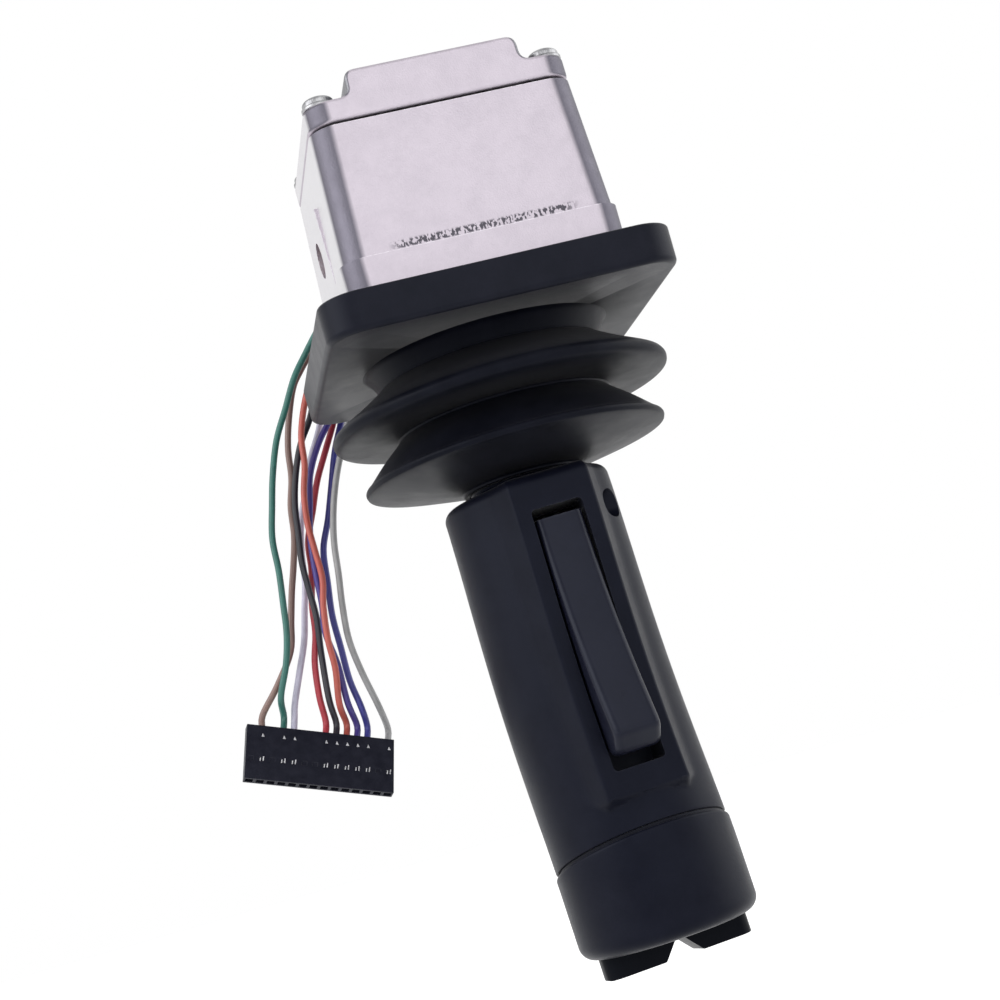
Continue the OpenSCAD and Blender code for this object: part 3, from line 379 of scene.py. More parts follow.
def scuffsAndPaintedLight(tree, colour):
    # painted dark reflection on the rounded corners, painted shade on the block ends, painted light on the
    # left side, and a row of scuffs above the skirt on the front
    spec = scuffsAndPaintedLightSpec
    point = addNode(tree, "ShaderNodeTexCoord")
    facing = addNode(tree, "ShaderNodeSeparateXYZ", {0: point.outputs["Normal"]}).outputs
    where = addNode(tree, "ShaderNodeSeparateXYZ", {0: point.outputs["Object"]}).outputs
    product = maths(tree, "MULTIPLY", facing[0], facing[1])
    # painted dark reflection: faces turned halfway between x and y, the rounded corners, are made dark
    corner = between(tree, maths(tree, "ABSOLUTE", product), *spec["corner"])
    colour = blendColour(tree, corner, colour, spec["paintedCornerReflection"])
    # painted light: faces turned to the left are made paler
    colour = blendColour(tree, between(tree, facing[0], *spec["left"]), colour, spec["paintedLeftLight"])
    # painted shade: the steep ends of the raised block above the deck are made darker
    steep = between(tree, maths(tree, "ABSOLUTE", facing[0]), *spec["steep"])
    block = maths(tree, "MULTIPLY", steep, between(tree, where[2], *spec["deck"]))
    colour = blendColour(tree, block, colour, spec["paintedBlockShade"])
    squash = addNode(tree, "ShaderNodeMapping", {"Vector": point.outputs["Object"], "Scale": spec["squash"]})
    scratch = addNode(tree, "ShaderNodeTexNoise", {
        "Vector": squash.outputs[0], "Scale": spec["scale"], "Detail": 3.0})
    mask = between(tree, scratch.outputs["Fac"], *spec["cut"])
    for axis, middle, reach in ((2, "level", "band"), (0, "centre", "span")):
        away = maths(tree, "ABSOLUTE", maths(tree, "SUBTRACT", where[axis], spec[middle]))
        mask = maths(tree, "MULTIPLY", mask, between(tree, away, *spec[reach]))
    mask = maths(tree, "MULTIPLY", mask, between(tree, facing[1], *spec["front"]))
    return blendColour(tree, mask, colour, spec["scuffTone"])


castFinish = {
    "dark": (0.44, 0.40, 0.45), "light": (0.51, 0.465, 0.52), "blotchScale": 210.0,
    "grainScale": 2600.0, "bump": 0.00007, "rough": (0.40, 0.52), "metallic": 0.85,
    # the extra colour step paints reflection, light and shade by face direction, and adds scuffs
    "edge": (0.78, 0.75, 0.80), "edgeReach": 0.0004, "extra": scuffsAndPaintedLight,
}
coolTint = (0.82, 0.87, 1.0)
rubberFinish = {
    "dark": (0.0035, 0.004, 0.0085), "light": (0.0068, 0.0072, 0.013), "blotchScale": 160.0,
    "grainScale": 5200.0, "bump": 0.00003, "rough": (0.36, 0.46), "edge": (0.014, 0.0145, 0.022),
    "edgeReach": 0.0005, "specular": 0.12, "sheen": 0.14, "tint": coolTint,
}
# painted shade: the bellows take the boot's rubber darkened for their shaded folds, with less gloss and sheen
shadedBellowsFinish = dict(rubberFinish, dark=(0.0022, 0.0026, 0.0055), light=(0.0045, 0.005, 0.009),
                     specular=0.07, sheen=0.05)
gripFinish = {
    "dark": (0.0026, 0.0032, 0.0085), "light": (0.0048, 0.0056, 0.012), "blotchScale": 120.0,
    "grainScale": 6500.0, "bump": 0.00003, "rough": (0.34, 0.44), "edge": (0.014, 0.0155, 0.025),
    "edgeReach": 0.0006, "specular": 0.1, "sheen": 0.05, "tint": coolTint,
}
mouldFinish = {
    "dark": (0.0056, 0.0062, 0.0135), "light": (0.0085, 0.0094, 0.018), "blotchScale": 150.0,
    "grainScale": 5000.0, "bump": 0.000015, "rough": (0.26, 0.36), "edge": (0.03, 0.032, 0.046),
    "edgeReach": 0.0006, "specular": 0.17, "tint": coolTint,
}
# painted shade: the rocker takes the trigger's moulding darkened, with weaker edges and less gloss
shadedRockerFinish = dict(mouldFinish, dark=(0.0022, 0.0027, 0.0045), light=(0.0036, 0.0042, 0.0065),
                    edge=(0.008, 0.009, 0.012), specular=0.05)
steelFinish = {
    "dark": (0.2, 0.2, 0.21), "light": (0.42, 0.42, 0.43), "blotchScale": 500.0,
    "grainScale": 4000.0, "bump": 0.00002, "rough": (0.24, 0.4), "metallic": 1.0,
    "edge": (0.75, 0.75, 0.77), "edgeReach": 0.0003,
}
bronzeFinish = {
    "dark": (0.2, 0.075, 0.025), "light": (0.5, 0.23, 0.09), "blotchScale": 500.0,
    "grainScale": 6000.0, "bump": 0.00004, "rough": (0.35, 0.55), "metallic": 0.9,
}
boardFinish = {
    "dark": (0.02, 0.13, 0.07), "light": (0.03, 0.19, 0.1), "blotchScale": 400.0,
    "grainScale": 3000.0, "bump": 0.00001, "rough": (0.3, 0.45),
}
plugFinish = {
    "dark": (0.011, 0.0115, 0.019), "light": (0.016, 0.0165, 0.026), "blotchScale": 400.0,
    "grainScale": 5000.0, "bump": 0.00002, "rough": (0.32, 0.46), "edge": (0.045, 0.045, 0.052),
    "edgeReach": 0.0002, "specular": 0.14, "tint": coolTint,
}
tinFinish = {
    "dark": (0.75, 0.75, 0.78), "light": (0.9, 0.9, 0.93), "blotchScale": 900.0,
    "grainScale": 5000.0, "bump": 0.00001, "rough": (0.3, 0.45), "metallic": 0.6,
}
wireColours = {
    "green": (0.028, 0.15, 0.125), "brown": (0.24, 0.15, 0.13), "white": (0.6, 0.58, 0.72),
    "red": (0.48, 0.04, 0.06), "black": (0.018, 0.018, 0.028), "orange": (0.5, 0.1, 0.075),
    "violet": (0.06, 0.04, 0.25), "blue": (0.045, 0.045, 0.27), "grey": (0.34, 0.34, 0.345),
}
materials = {
    "cast_aluminium": finish("castAluminium", castFinish),
    "black_rubber": finish("bootRubber", rubberFinish),
    "grip_plastic": finish("gripPlastic", gripFinish),
    "black_moulding": finish("triggerPlastic", mouldFinish),
    "steel": finish("zincSteel", steelFinish), "bronze": finish("bushBronze", bronzeFinish),
    "board": finish("solderMask", boardFinish), "black_plastic": finish("plugPlastic", plugFinish),
}
for tint, shade in wireColours.items():
    materials["wire_" + tint] = finish(tint + "Insulation", {
        "dark": tuple(v * 0.82 for v in shade), "light": shade, "blotchScale": 260.0, "grainScale": 3000.0,
        "bump": 0.00001, "rough": (0.3, 0.42)})
for part in frame["record"]["subparts"]:
    slots = frame["nodes"][part["node"]].data.materials
    slots.clear()
    slots.append(materials[part["material_slot"]])
print("materials made")

# the harness
harness = {
    "diameter": 1.6, "rings": 110, "ways": 14, "pitch": 2.54, "plugHeight": 14.0,
    "plugPlace": (-56.0, 48.0, -84.8), "plugTurns": (-20.0, 20.6, 8.0), "exitY": 27.188,
    "exitZ": 22.0, "rowGap": 1.5, "entry": 3.5,
}


def plugMatrix(spec):
    tilt, roll, turn = (math.radians(a) for a in spec["plugTurns"])
    spin = Matrix.Rotation(turn, 4, "Z") @ Matrix.Rotation(roll, 4, "Y") @ Matrix.Rotation(tilt, 4, "X")
    return Matrix.Translation(Vector(spec["plugPlace"])) @ spin


def wayAt(way):
    return (way - (harness["ways"] + 1) / 2) * harness["pitch"]


def wirePath(spec, exitAt, route, way):
    across = wayAt(way)
    inPlug = plugMatrix(spec)
    start = (exitAt[0], spec["exitY"], spec["exitZ"] + exitAt[1] * spec["rowGap"])
    ends = [inPlug @ Vector((across, 0, spec["plugHeight"] / 2 + lift)) for lift in (spec["entry"], 0)]
    return [Vector(p) * mm for p in (start, *route, *ends)]


wireRoutes = {
    "green": ((-22, 1), 4, [(-22, 32, 23), (-23, 36, 22), (-26.5, 39.5, 19), (-30.5, 43.5, 15.5),
        (-34.5, 44.5, 11), (-38.5, 44.5, 6), (-42.5, 44.5, -1), (-46.5, 44.5, -8), (-49.5, 44.5, -16),
        (-51.5, 44.5, -23), (-53.5, 45, -31), (-54, 45, -39), (-55, 45, -47), (-56, 45, -54), (-58, 45, -61),
        (-61, 47, -68)]),
    "brown": ((-20.5, -1), 2, [(-21, 33, 20), (-23, 38, 19), (-27, 43, 16.5), (-32, 47, 12.5),
        (-36, 48.5, 8.5), (-39, 48.5, 4.5), (-42, 48.5, -3), (-44, 48.5, -10), (-45, 48.5, -17),
        (-47, 48.5, -24), (-48, 48.5, -31), (-50, 48.5, -38), (-52, 48.5, -44), (-54, 48.5, -51),
        (-56, 48.5, -58), (-61, 49, -65)]),
    "white": ((-16, 1), 5, [(-16, 32, 23), (-18, 37, 22), (-22, 43, 19), (-26, 49, 14), (-29, 52, 8),
        (-32, 53, 1), (-35, 53, -6), (-39, 53, -13), (-42, 53, -20), (-45, 53, -27), (-47, 53, -35),
        (-48, 53, -42), (-50, 52, -49), (-52, 51, -56), (-55, 50, -63), (-58, 50, -70)]),
    "red": ((-14.5, -1), 8, [(-15, 32, 20), (-17, 37, 19), (-21, 43, 15), (-25, 48, 9), (-28, 50, 2),
        (-31, 50, -5), (-35, 50, -12), (-39, 50, -19), (-42, 50, -26), (-45, 50, -33), (-46, 50, -40),
        (-48, 50, -48), (-49, 50, -55), (-51, 50, -62), (-52, 50, -70)]),
    "black": ((-17.5, -1), 9, [(-18, 32, 20), (-20, 37, 18), (-24, 42, 14), (-29, 45, 8), (-34, 47, 2),
        (-37, 47, -4), (-41, 47, -10), (-44, 47, -17), (-46, 47, -24), (-47, 47, -31), (-48, 47, -38),
        (-48, 47.5, -45), (-48, 47.5, -52), (-49, 48.5, -60), (-50, 49, -71)]),
    "orange": ((-19, 1), 10, [(-19, 33, 23), (-20.5, 38, 20.5), (-24.5, 42.5, 16.5), (-29.5, 44.5, 11.5),
        (-33.5, 44.5, 6.5), (-37.5, 44.5, -0.5), (-40.5, 44, -8.5), (-41.5, 44, -15.5), (-43.5, 44, -22.5),
        (-44.5, 44, -29.5), (-44.5, 44, -36.5), (-44.5, 44, -43.5), (-46, 44, -50), (-47, 44, -58),
        (-47, 45, -65), (-48, 48, -73)]),
    "violet": ((-11.5, -1), 11, [(-12, 32, 20), (-14.5, 37, 18), (-18.5, 41.5, 13.5), (-22.5, 45.5, 7.5),
        (-27.5, 46.5, 1.5), (-31.5, 46.5, -4.5), (-36.5, 46.5, -10.5), (-40.5, 46.5, -17.5),
        (-42.5, 46, -24.5), (-44.5, 46, -32.5), (-45.5, 46, -41), (-46, 46, -49), (-47, 46, -56),
        (-46, 47.5, -64), (-46, 48.5, -73)]),
    "blue": ((-13, 1), 12, [(-13, 32, 23), (-15, 38, 21), (-18, 44, 16), (-22, 48, 9), (-26, 49, 2),
        (-29, 49, -5), (-33, 49, -13), (-36, 49, -21), (-39, 49, -29), (-42, 49, -36), (-43, 50, -44),
        (-44, 50, -52), (-44, 50, -60), (-44, 50, -68), (-43, 50, -75)]),
    "grey": ((-10, 1), 14, [(-10, 32, 23), (-11.5, 37, 22), (-15.5, 42, 16.5), (-19, 44.5, 9.5),
        (-23, 44.5, 2.5), (-27, 44.5, -4.5), (-30.5, 44.5, -11.5), (-34.5, 44, -19.5), (-37.5, 44, -27.5),
        (-39.5, 44, -35.5), (-40.5, 44, -43.5), (-41.5, 45, -51), (-42, 46, -59), (-41, 47, -67),
        (-39, 49, -76)]),
}


sweep = wireTree()
for tint, (exitAt, way, route) in wireRoutes.items():
    path = wirePath(harness, exitAt, route, way)
    wire = runTree("wire" + tint.capitalize(), polyline("route", path), sweep, {
        "Radius": harness["diameter"] / 2 * mm, "Rings": harness["rings"],
        "Material": materials["wire_" + tint]})
    dress(wire, materials["wire_" + tint], "base", "wire_" + tint, "wire_" + tint)
print("harness made")

# the fixed body


def prism(name, outline, low, high, axis="Z"):
    # an outline in its own plane, pulled from low to high along an axis
    place = {"Z": lambda u, v, w: (u, v, w), "Y": lambda u, v, w: (u, w, v),
             "X": lambda u, v, w: (w, u, v)}[axis]
    count = len(outline)
    points = [Vector(place(u, v, w)) * mm for w in (low, high) for u, v in outline]
    faces = [tuple(range(count)), tuple(reversed(range(count, 2 * count)))]
    faces += [(i, count + i, count + (i + 1) % count, (i + 1) % count) for i in range(count)]
    return faceOutwards(meshPiece(name, points, faces, smooth=False))


def rectangle(wide, high):
    u, v = wide / 2, high / 2
    return [(-u, -v), (u, -v), (u, v), (-u, v)]


def roundedBox(width, depth, radius, centre=(0, 0), steps=10):
    # the outline of a box with rounded corners
    outline = []
    for sx, sy, turn in ((1, 1, 0), (-1, 1, 1), (-1, -1, 2), (1, -1, 3)):
        for k in range(steps + 1):
            angle = math.pi / 2 * (turn + k / steps)
            outline.append((centre[0] + sx * (width / 2 - radius) + radius * math.cos(angle),
                            centre[1] + sy * (depth / 2 - radius) + radius * math.sin(angle)))
    return outline


def filleted(corners, steps=6):
    # an outline whose corners (u, v, radius) are rounded
    outline = []
    count = len(corners)
    for i, (u, v, radius) in enumerate(corners):
        here = Vector((u, v))
        back = (Vector(corners[i - 1][:2]) - here).normalized()
        ahead = (Vector(corners[(i + 1) % count][:2]) - here).normalized()
        if radius <= 0:
            outline.append((u, v))
            continue
        half = back.angle(ahead) / 2
        reach = radius / math.tan(half)
        start, end = here + back * reach, here + ahead * reach
        for k in range(steps + 1):
            t = k / steps
            point = (1 - t) ** 2 * start + 2 * t * (1 - t) * here + t * t * end
            outline.append(tuple(point))
    return outline


def combine(obj, other, how):
    step = obj.modifiers.new(how, "BOOLEAN")
    step.object, step.operation, step.solver = other, how, "EXACT"
    bakeModifiers(obj)
    drop(other)
    return obj


coverSpec = {
    "width": 58.4, "depth": 55.8, "corner": 6.2, "centreY": -2.5, "bottom": 39.5, "deck": 44.6,
    "top": 50.3, "middle": 19.2, "shoulder": 2.6, "foot": 2.2, "edge": 0.9, "spare": 5,
}


def makeCover(spec):
    w, m, deck, top = spec["width"] / 2, spec["middle"], spec["deck"], spec["top"]
    bottom, foot, shoulder = spec["bottom"], spec["foot"], spec["shoulder"]
    centreY, spare = spec["centreY"], spec["spare"]
    side = filleted([(-w, bottom, 0), (w, bottom, 0), (w, deck, 0), (m, deck, foot), (m, top, shoulder),
                     (-m, top, shoulder), (-m, deck, foot), (-w, deck, 0)])
    half = spec["depth"] / 2
    cover = prism("coverPlate", side, centreY - half - spare, centreY + half + spare, "Y")
    plan = roundedBox(spec["width"], spec["depth"], spec["corner"], (0, centreY))
    combine(cover, prism("coverBounds", plan, bottom - spare, top + spare), "INTERSECT")
    return bevelled(cleaned(cover, 2e-5), spec["edge"], 4, 35)


dress(makeCover(coverSpec), materials["cast_aluminium"], "base", "cast_aluminium", "cover")
bodySpec = {"height": 38.6, "wider": 0.018, "taller": 0.009, "edge": 0.5}


def widenUp(obj, spec):
    # the casting stands a little wider and taller at its cover than the solid
    for vert in obj.data.vertices:
        share = max(0.0, min(vert.co.z / (spec["height"] * mm), 1.0))
        vert.co.x *= 1 + spec["wider"] * share
        vert.co.z *= 1 + spec["taller"] * share
    return obj


housingShell = widenUp(cadCopy("housing", "housingShell", bodySpec["edge"]), bodySpec)
dress(housingShell, materials["cast_aluminium"], "base", "cast_aluminium", "housing")

flangeSpec = {
    "width": 76.6, "depth": 81.6, "corner": 8.3, "thick": 8.6, "topEdge": 0.7, "bottomEdge": 1.3,
    "draft": 0.1, "neck": 28.0, "cornerShare": 0.6, "rim": 1.6, "web": 2.6, "steps": 12,
}


def makeFlange(spec):
    # stacked rounded outlines: top edge, drafted wall, soft bottom edge, then in to the bellows' neck
    width, depth, corner, steps = (spec[k] for k in ("width", "depth", "corner", "steps"))
    top, low, rim = spec["topEdge"], spec["bottomEdge"], spec["rim"]
    rings = []
    for k in range(6):
        a = math.pi / 2 * k / 5
        rings.append((top * (1 - math.sin(a)), -top * (1 - math.cos(a))))
    for k in range(9):
        a = math.pi / 2 * k / 8
        rings.append((spec["draft"] + low * (1 - math.cos(a)), -spec["thick"] + low * (1 - math.sin(a))))
    points, faces = [], []
    for inset, z in rings:
        radius = corner - inset * spec["cornerShare"]
        outline = roundedBox(width - 2 * inset, depth - 2 * inset, radius, steps=steps)
        points += [Vector((x, y, z)) * mm for x, y in outline]
    outline = roundedBox(width, depth, corner, steps=steps)
    count = len(outline)
    neck = [Vector((x, y)).normalized() * spec["neck"] for x, y in outline]
    inner = roundedBox(width - 2 * rim, depth - 2 * rim, corner - rim, steps=steps)
    for ring, z in ((neck, -spec["thick"]), (neck, -spec["web"]), (inner, -spec["web"]), (inner, 0)):
        points += [Vector((x, y, z)) * mm for x, y in ring]
    rows = len(points) // count
    for i in range(rows):
        for j in range(count):
            a, b = i * count, (i + 1) % rows * count
            faces.append((a + j, a + (j + 1) % count, b + (j + 1) % count, b + j))
    return evenNormals(faceOutwards(meshPiece("bootFlange", points, faces)))


dress(makeFlange(flangeSpec), materials["black_rubber"], "base", "black_rubber", "boot_flange")


def instanceTree():
    # puts one template on every point of the base mesh
    tree, start, end = newTree("repeatOnPoints", [
        ("Template", "NodeSocketObject", None), ("Material", "NodeSocketMaterial", None)])
    info = addNode(tree, "GeometryNodeObjectInfo", {"Object": start.outputs["Template"]})
    many = addNode(tree, "GeometryNodeInstanceOnPoints", {
        "Points": start.outputs["Geometry"], "Instance": info.outputs["Geometry"]})
    whole = addNode(tree, "GeometryNodeRealizeInstances", {"Geometry": many.outputs["Instances"]})
    painted = addNode(tree, "GeometryNodeSetMaterial", {
        "Geometry": whole.outputs["Geometry"], "Material": start.outputs["Material"]})
    tree.links.new(painted.outputs["Geometry"], end.inputs["Geometry"])
    return tree


def lathe(name, profile, around, closed=False):
    # turns a profile of (radius, height) around the Z axis
    points, faces = [], []
    rows = len(profile)
    for i in range(around):
        angle = 2 * math.pi * i / around
        for r, z in profile:
            points.append(Vector((r * math.cos(angle), r * math.sin(angle), z)) * mm)
    for i in range(around):
        for j in range(rows if closed else rows - 1):
            a, b = i * rows, (i + 1) % around * rows
            faces.append((a + j, b + j, b + (j + 1) % rows, a + (j + 1) % rows))
    return meshPiece(name, points, faces)


def spotPoints(name, places):
    mesh = bpy.data.meshes.new(name)
    mesh.from_pydata([tuple(Vector(p) * mm) for p in places], [], [])
    return link(bpy.data.objects.new(name, mesh))


screwSpec = {
    "reach": (25.3, 22.2), "centreY": -2.5, "seat": 44.6, "washer": 3.8, "bore": 2.1,
    "washerThick": 0.8, "head": 3.45, "headHigh": 2.1, "rim": 0.35, "cross": (3.4, 0.75, 1.3),
    "around": 40,
}


def makeCoverScrews(spec):
    places = [(sx * spec["reach"][0], spec["centreY"] + sy * spec["reach"][1], spec["seat"])
              for sx in (-1, 1) for sy in (-1, 1)]
    r, h, t, around = spec["head"], spec["headHigh"], spec["washerThick"], spec["around"]
    dome = [(r * math.cos(a), t + h * (spec["rim"] + (1 - spec["rim"]) * math.sin(a)))
            for a in (math.pi / 2 * k / 10 for k in range(11))]
    under = [(pole, t), (r * 0.98, t), (r, t + 0.15)]
    head = faceOutwards(lathe("screwHead", under + dome[:-1] + [(pole, t + h)], around))
    reach, slit, deep = spec["cross"]
    for outline in (rectangle(reach, slit), rectangle(slit, reach)):
        combine(head, prism("cross", outline, t + h - deep, t + h + 1), "DIFFERENCE")
    setSmooth(head.data, False)
    out, bore = spec["washer"], spec["bore"]
    section = [(bore, 0), (out - 0.1, 0), (out, 0.1), (out, t - 0.15), (out - 0.15, t), (bore, t)]
    washer = faceOutwards(lathe("washer", section, around, closed=True))
    repeat, steel = instanceTree(), materials["steel"]
    for name, template, node in (("coverScrews", head, "cover_screws"),
                                 ("coverWashers", washer, "cover_washers")):
        row = runTree(name, spotPoints(name, places), repeat, {"Template": template, "Material": steel})
        dress(row, steel, "base", "steel", node)
        drop(template)


makeCoverScrews(screwSpec)
print("fixed body made")

# the connector
plugSpec = {
    "width": 35.56, "thick": 2.5, "height": 14.0, "used": (4, 2, 5, 8, 9, 10, 11, 12, 14),
    "edge": 0.1, "slot": (1.8, 1.5, 6.0), "pocket": (1.3, 1.1, 0.12, -1.7), "proud": 0.03,
    "latch": (0.9, 0.9, 4.5), "latchFoot": 0.3, "latchDeep": 0.2, "slit": (0.26, 1.15, -1.7, 0.36),
    "bars": ((-1, -0.12, 0.75), (1, 0.08, 1.0)), "barLean": (0.8, 0.1), "barDeep": 0.3,
}


def cuboids(name, boxes):
    points, faces = [], []
    for (x0, x1), (y0, y1), (z0, z1) in boxes:
        n = len(points)
        points += [Vector((x, y, z)) * mm for z in (z0, z1)
                   for x, y in ((x0, y0), (x1, y0), (x1, y1), (x0, y1))]
        faces += [(n + 3, n + 2, n + 1, n), (n + 4, n + 5, n + 6, n + 7)]
        faces += [(n + i, n + (i + 1) % 4, n + 4 + (i + 1) % 4, n + 4 + i) for i in range(4)]
    return meshPiece(name, points, faces, smooth=False)


def contactMark(spec):
    # each fitted contact shows its latch near the top and the two edges of its spring lower down
    face = -spec["thick"] / 2 - spec["proud"]
    wide, high, level = spec["latch"]
    outline = [(-wide * spec["latchFoot"], level - high / 2), (wide / 2, level - high / 2),
               (0, level + high / 2)]
    mark = prism("contactMark", outline, face, -spec["thick"] / 2 + spec["latchDeep"], "Y")
    wide, high, level, apart = spec["slit"]
    outwards, inwards = spec["barLean"]
    for side, lift, size in spec["bars"]:
        x, low, top = side * apart, level + lift - high * size / 2, level + lift + high * size / 2
        outline = [(x - wide / 2, low), (x + wide / 2, low),
                   (x + wide * outwards, top), (x - wide * inwards, top)]
        bar = prism("contactBar", outline, face, -spec["thick"] / 2 + spec["barDeep"], "Y")
        reshape(mark, lambda work: work.from_mesh(bar.data))
        drop(bar)
    return mark


def makePlug(spec):
    w, t, h = spec["width"] / 2, spec["thick"] / 2, spec["height"] / 2
    shell = cuboids("plugShell", [((-w, w), (-t, t), (-h, h))])
    holes = []
    for way in range(1, harness["ways"] + 1):
        x = wayAt(way)
        wide, high, deep = spec["slot"]
        holes.append(((x - wide / 2, x + wide / 2), (-high / 2, high / 2), (-h - 1, -h + deep)))
        wide, high, deep, level = spec["pocket"]
        holes.append(((x - wide / 2, x + wide / 2), (-t - 1, -t + deep),
                      (level - high / 2, level + high / 2)))
    combine(shell, cuboids("plugHoles", holes), "DIFFERENCE")
    shell = bevelled(shell, spec["edge"], 2, 60)
    moveInMm(shell, plugMatrix(harness))
    dress(shell, materials["black_plastic"], "base", "black_plastic", "plug")
    template = contactMark(spec)
    spots = spotPoints("contactMarks", [(wayAt(way), 0, 0) for way in spec["used"]])
    marks = runTree("contactMarks", spots, instanceTree(), {
        "Template": template, "Material": materials["steel"]})
    drop(template)
    moveInMm(marks, plugMatrix(harness))
    dress(marks, finish("tinnedContact", tinFinish), "base", "steel")


makePlug(plugSpec)
print("connector made")

# the boot
bellowsSpec = {
    "around": 160, "steps": 5, "wall": 1.1,
    "profile": [(28.4, -8.5), (27.2, -9.4), (25.6, -12.4), (26.0, -13.4), (31.6, -16.9), (36.9, -19.8),
                (38.1, -20.8), (38.4, -21.9), (37.6, -23.1), (34.2, -23.8), (25.6, -24.2), (24.3, -24.6),
                (24.8, -25.4), (29.0, -28.9), (32.9, -32.6), (34.1, -33.6), (34.1, -34.5), (32.9, -35.2),
                (25.0, -37.0), (16.2, -38.9), (13.8, -39.5), (13.5, -40.2), (12.4, -40.3)],
}


def rounded(points, steps):
    # a smooth line through the points
    out = []
    ends = [points[0], *points, points[-1]]
    for i in range(len(points) - 1):
        p0, p1, p2, p3 = (Vector(ends[i + k]) for k in range(4))
        for s in range(steps):
            t = s / steps
            out.append(0.5 * (2 * p1 + (p2 - p0) * t + (2 * p0 - 5 * p1 + 4 * p2 - p3) * t * t
                              + (3 * p1 - p0 - 3 * p2 + p3) * t ** 3))
    out.append(Vector(points[-1]))
    return out


def makeBellows(spec):
    boot = faceOutwards(lathe("bootBellows", rounded(spec["profile"], spec["steps"]), spec["around"]))
    wall = boot.modifiers.new("wall", "SOLIDIFY")
    wall.thickness, wall.offset = spec["wall"] * mm, -1
    return bakeModifiers(boot)


boot = makeBellows(bellowsSpec)
# the bellows' rubber is the boot's rubber with painted shade
boot.data.materials.append(finish("bellowsRubberPaintedShade", shadedBellowsFinish))
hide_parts("boot_bellows")
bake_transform(boot)
collarSpec = {"inner": 5.1, "r": 12.0, "top": -36.4, "bottom": -42.0, "around": 96}


def makeCollar(spec):
    # the ring in the boot's mouth, seated on the grip's leaning top
    bore, r, top, bottom = (spec[k] for k in ("inner", "r", "top", "bottom"))
    section = [(bore, top), (r, top), (r, bottom), (bore, bottom)]
    return faceOutwards(lathe("bootCollar", section, spec["around"], closed=True))


dress(makeCollar(collarSpec), materials["grip_plastic"], "lever", "grip_plastic", "boot_collar")
print("boot made")

# the grip, its trigger, cap and rocker
gripFrame = {"crank": 50.0, "lean": 2.4, "twist": 4.0}


def gripMatrix(spec):
    down = Matrix.Translation((0, 0, -spec["crank"]))
    return (down @ Matrix.Rotation(-math.radians(spec["lean"]), 4, "Y")
            @ Matrix.Rotation(math.radians(spec["twist"]), 4, "Z") @ down.inverted())


onGrip = gripMatrix(gripFrame)
gripSpec = {
    "top": 41.6, "end": 122.8, "lean": 12.0, "topR": 18.8, "endR": 19.5, "edge": 2.5,
    "endEdge": 0.4, "socket": 7.2, "joint": 15.8, "jointDeep": 7, "padY": 20.5,
    "flank": ((13.0, -13.16), (9.0, -20.5)), "padFrom": 0.25, "padEnd": 111.9, "padSlope": 1.6,
    "flankSlope": 0.5, "round": 0.45, "blend": 0.6, "around": 300, "rows": 130, "slotHalf": 5.8,
    "slotTop": 49.5, "slotEnd": 106.6, "slotBack": 9.8, "slotStep": (101.0, 11.6),
    "slotCorner": 1.1, "behindSlot": 2, "hole": (11.8, 51.5, 3.3), "holeReach": (10.0, 30.0),
    "outside": 30, "bow": (0.9, 45.0, 128.0),
}


def softMin(a, b, k):
    h = max(k - abs(a - b), 0.0) / k
    return min(a, b) - h * h * k * 0.25


def softMax(a, b, k):
    return -softMin(-a, -b, k)


def gripRadius(spec, angle, z):
    # the radius of the grip's skin in a direction, where 0 faces the trigger
    share = (-z - spec["top"]) / (spec["end"] - spec["top"])
    body = spec["topR"] + (spec["endR"] - spec["topR"]) * share
    c, s = math.cos(angle), abs(math.sin(angle))
    if c > spec["padFrom"]:
        (x0, y0), (x1, y1) = spec["flank"]
        normal = Vector((y0 - y1, x0 - x1)).normalized()
        away = normal.x * x1 - normal.y * y1
        flank = away / (normal.x * s + normal.y * c)
        sink = max(0.0, -z - spec["padEnd"]) * spec["padSlope"]
        front = (spec["padY"] - sink) / c
        pad = softMin(front, flank - sink * spec["flankSlope"], spec["round"])
        body = softMax(body, pad, spec["blend"])
    return body


def ringAt(radius, level, count, tilt=0.0):
    # a ring around the grip's axis; with a tilt its trigger side lies higher
    points = []
    for i in range(count):
        angle = 2 * math.pi * i / count
        y = -radius * math.cos(angle)
        points.append((radius * math.sin(angle), y, -level - tilt * y))
    return points


def ringMesh(name, points, count, closed=True):
    # a skin over stacked rings; a closed one joins the last ring to the first
    faces = []
    rows = len(points) // count
    for j in range(rows if closed else rows - 1):
        a, b = j * count, (j + 1) % rows * count
        for i in range(count):
            faces.append((a + i, b + i, b + (i + 1) % count, a + (i + 1) % count))
    return faceOutwards(meshPiece(name, [Vector(p) * mm for p in points], faces))


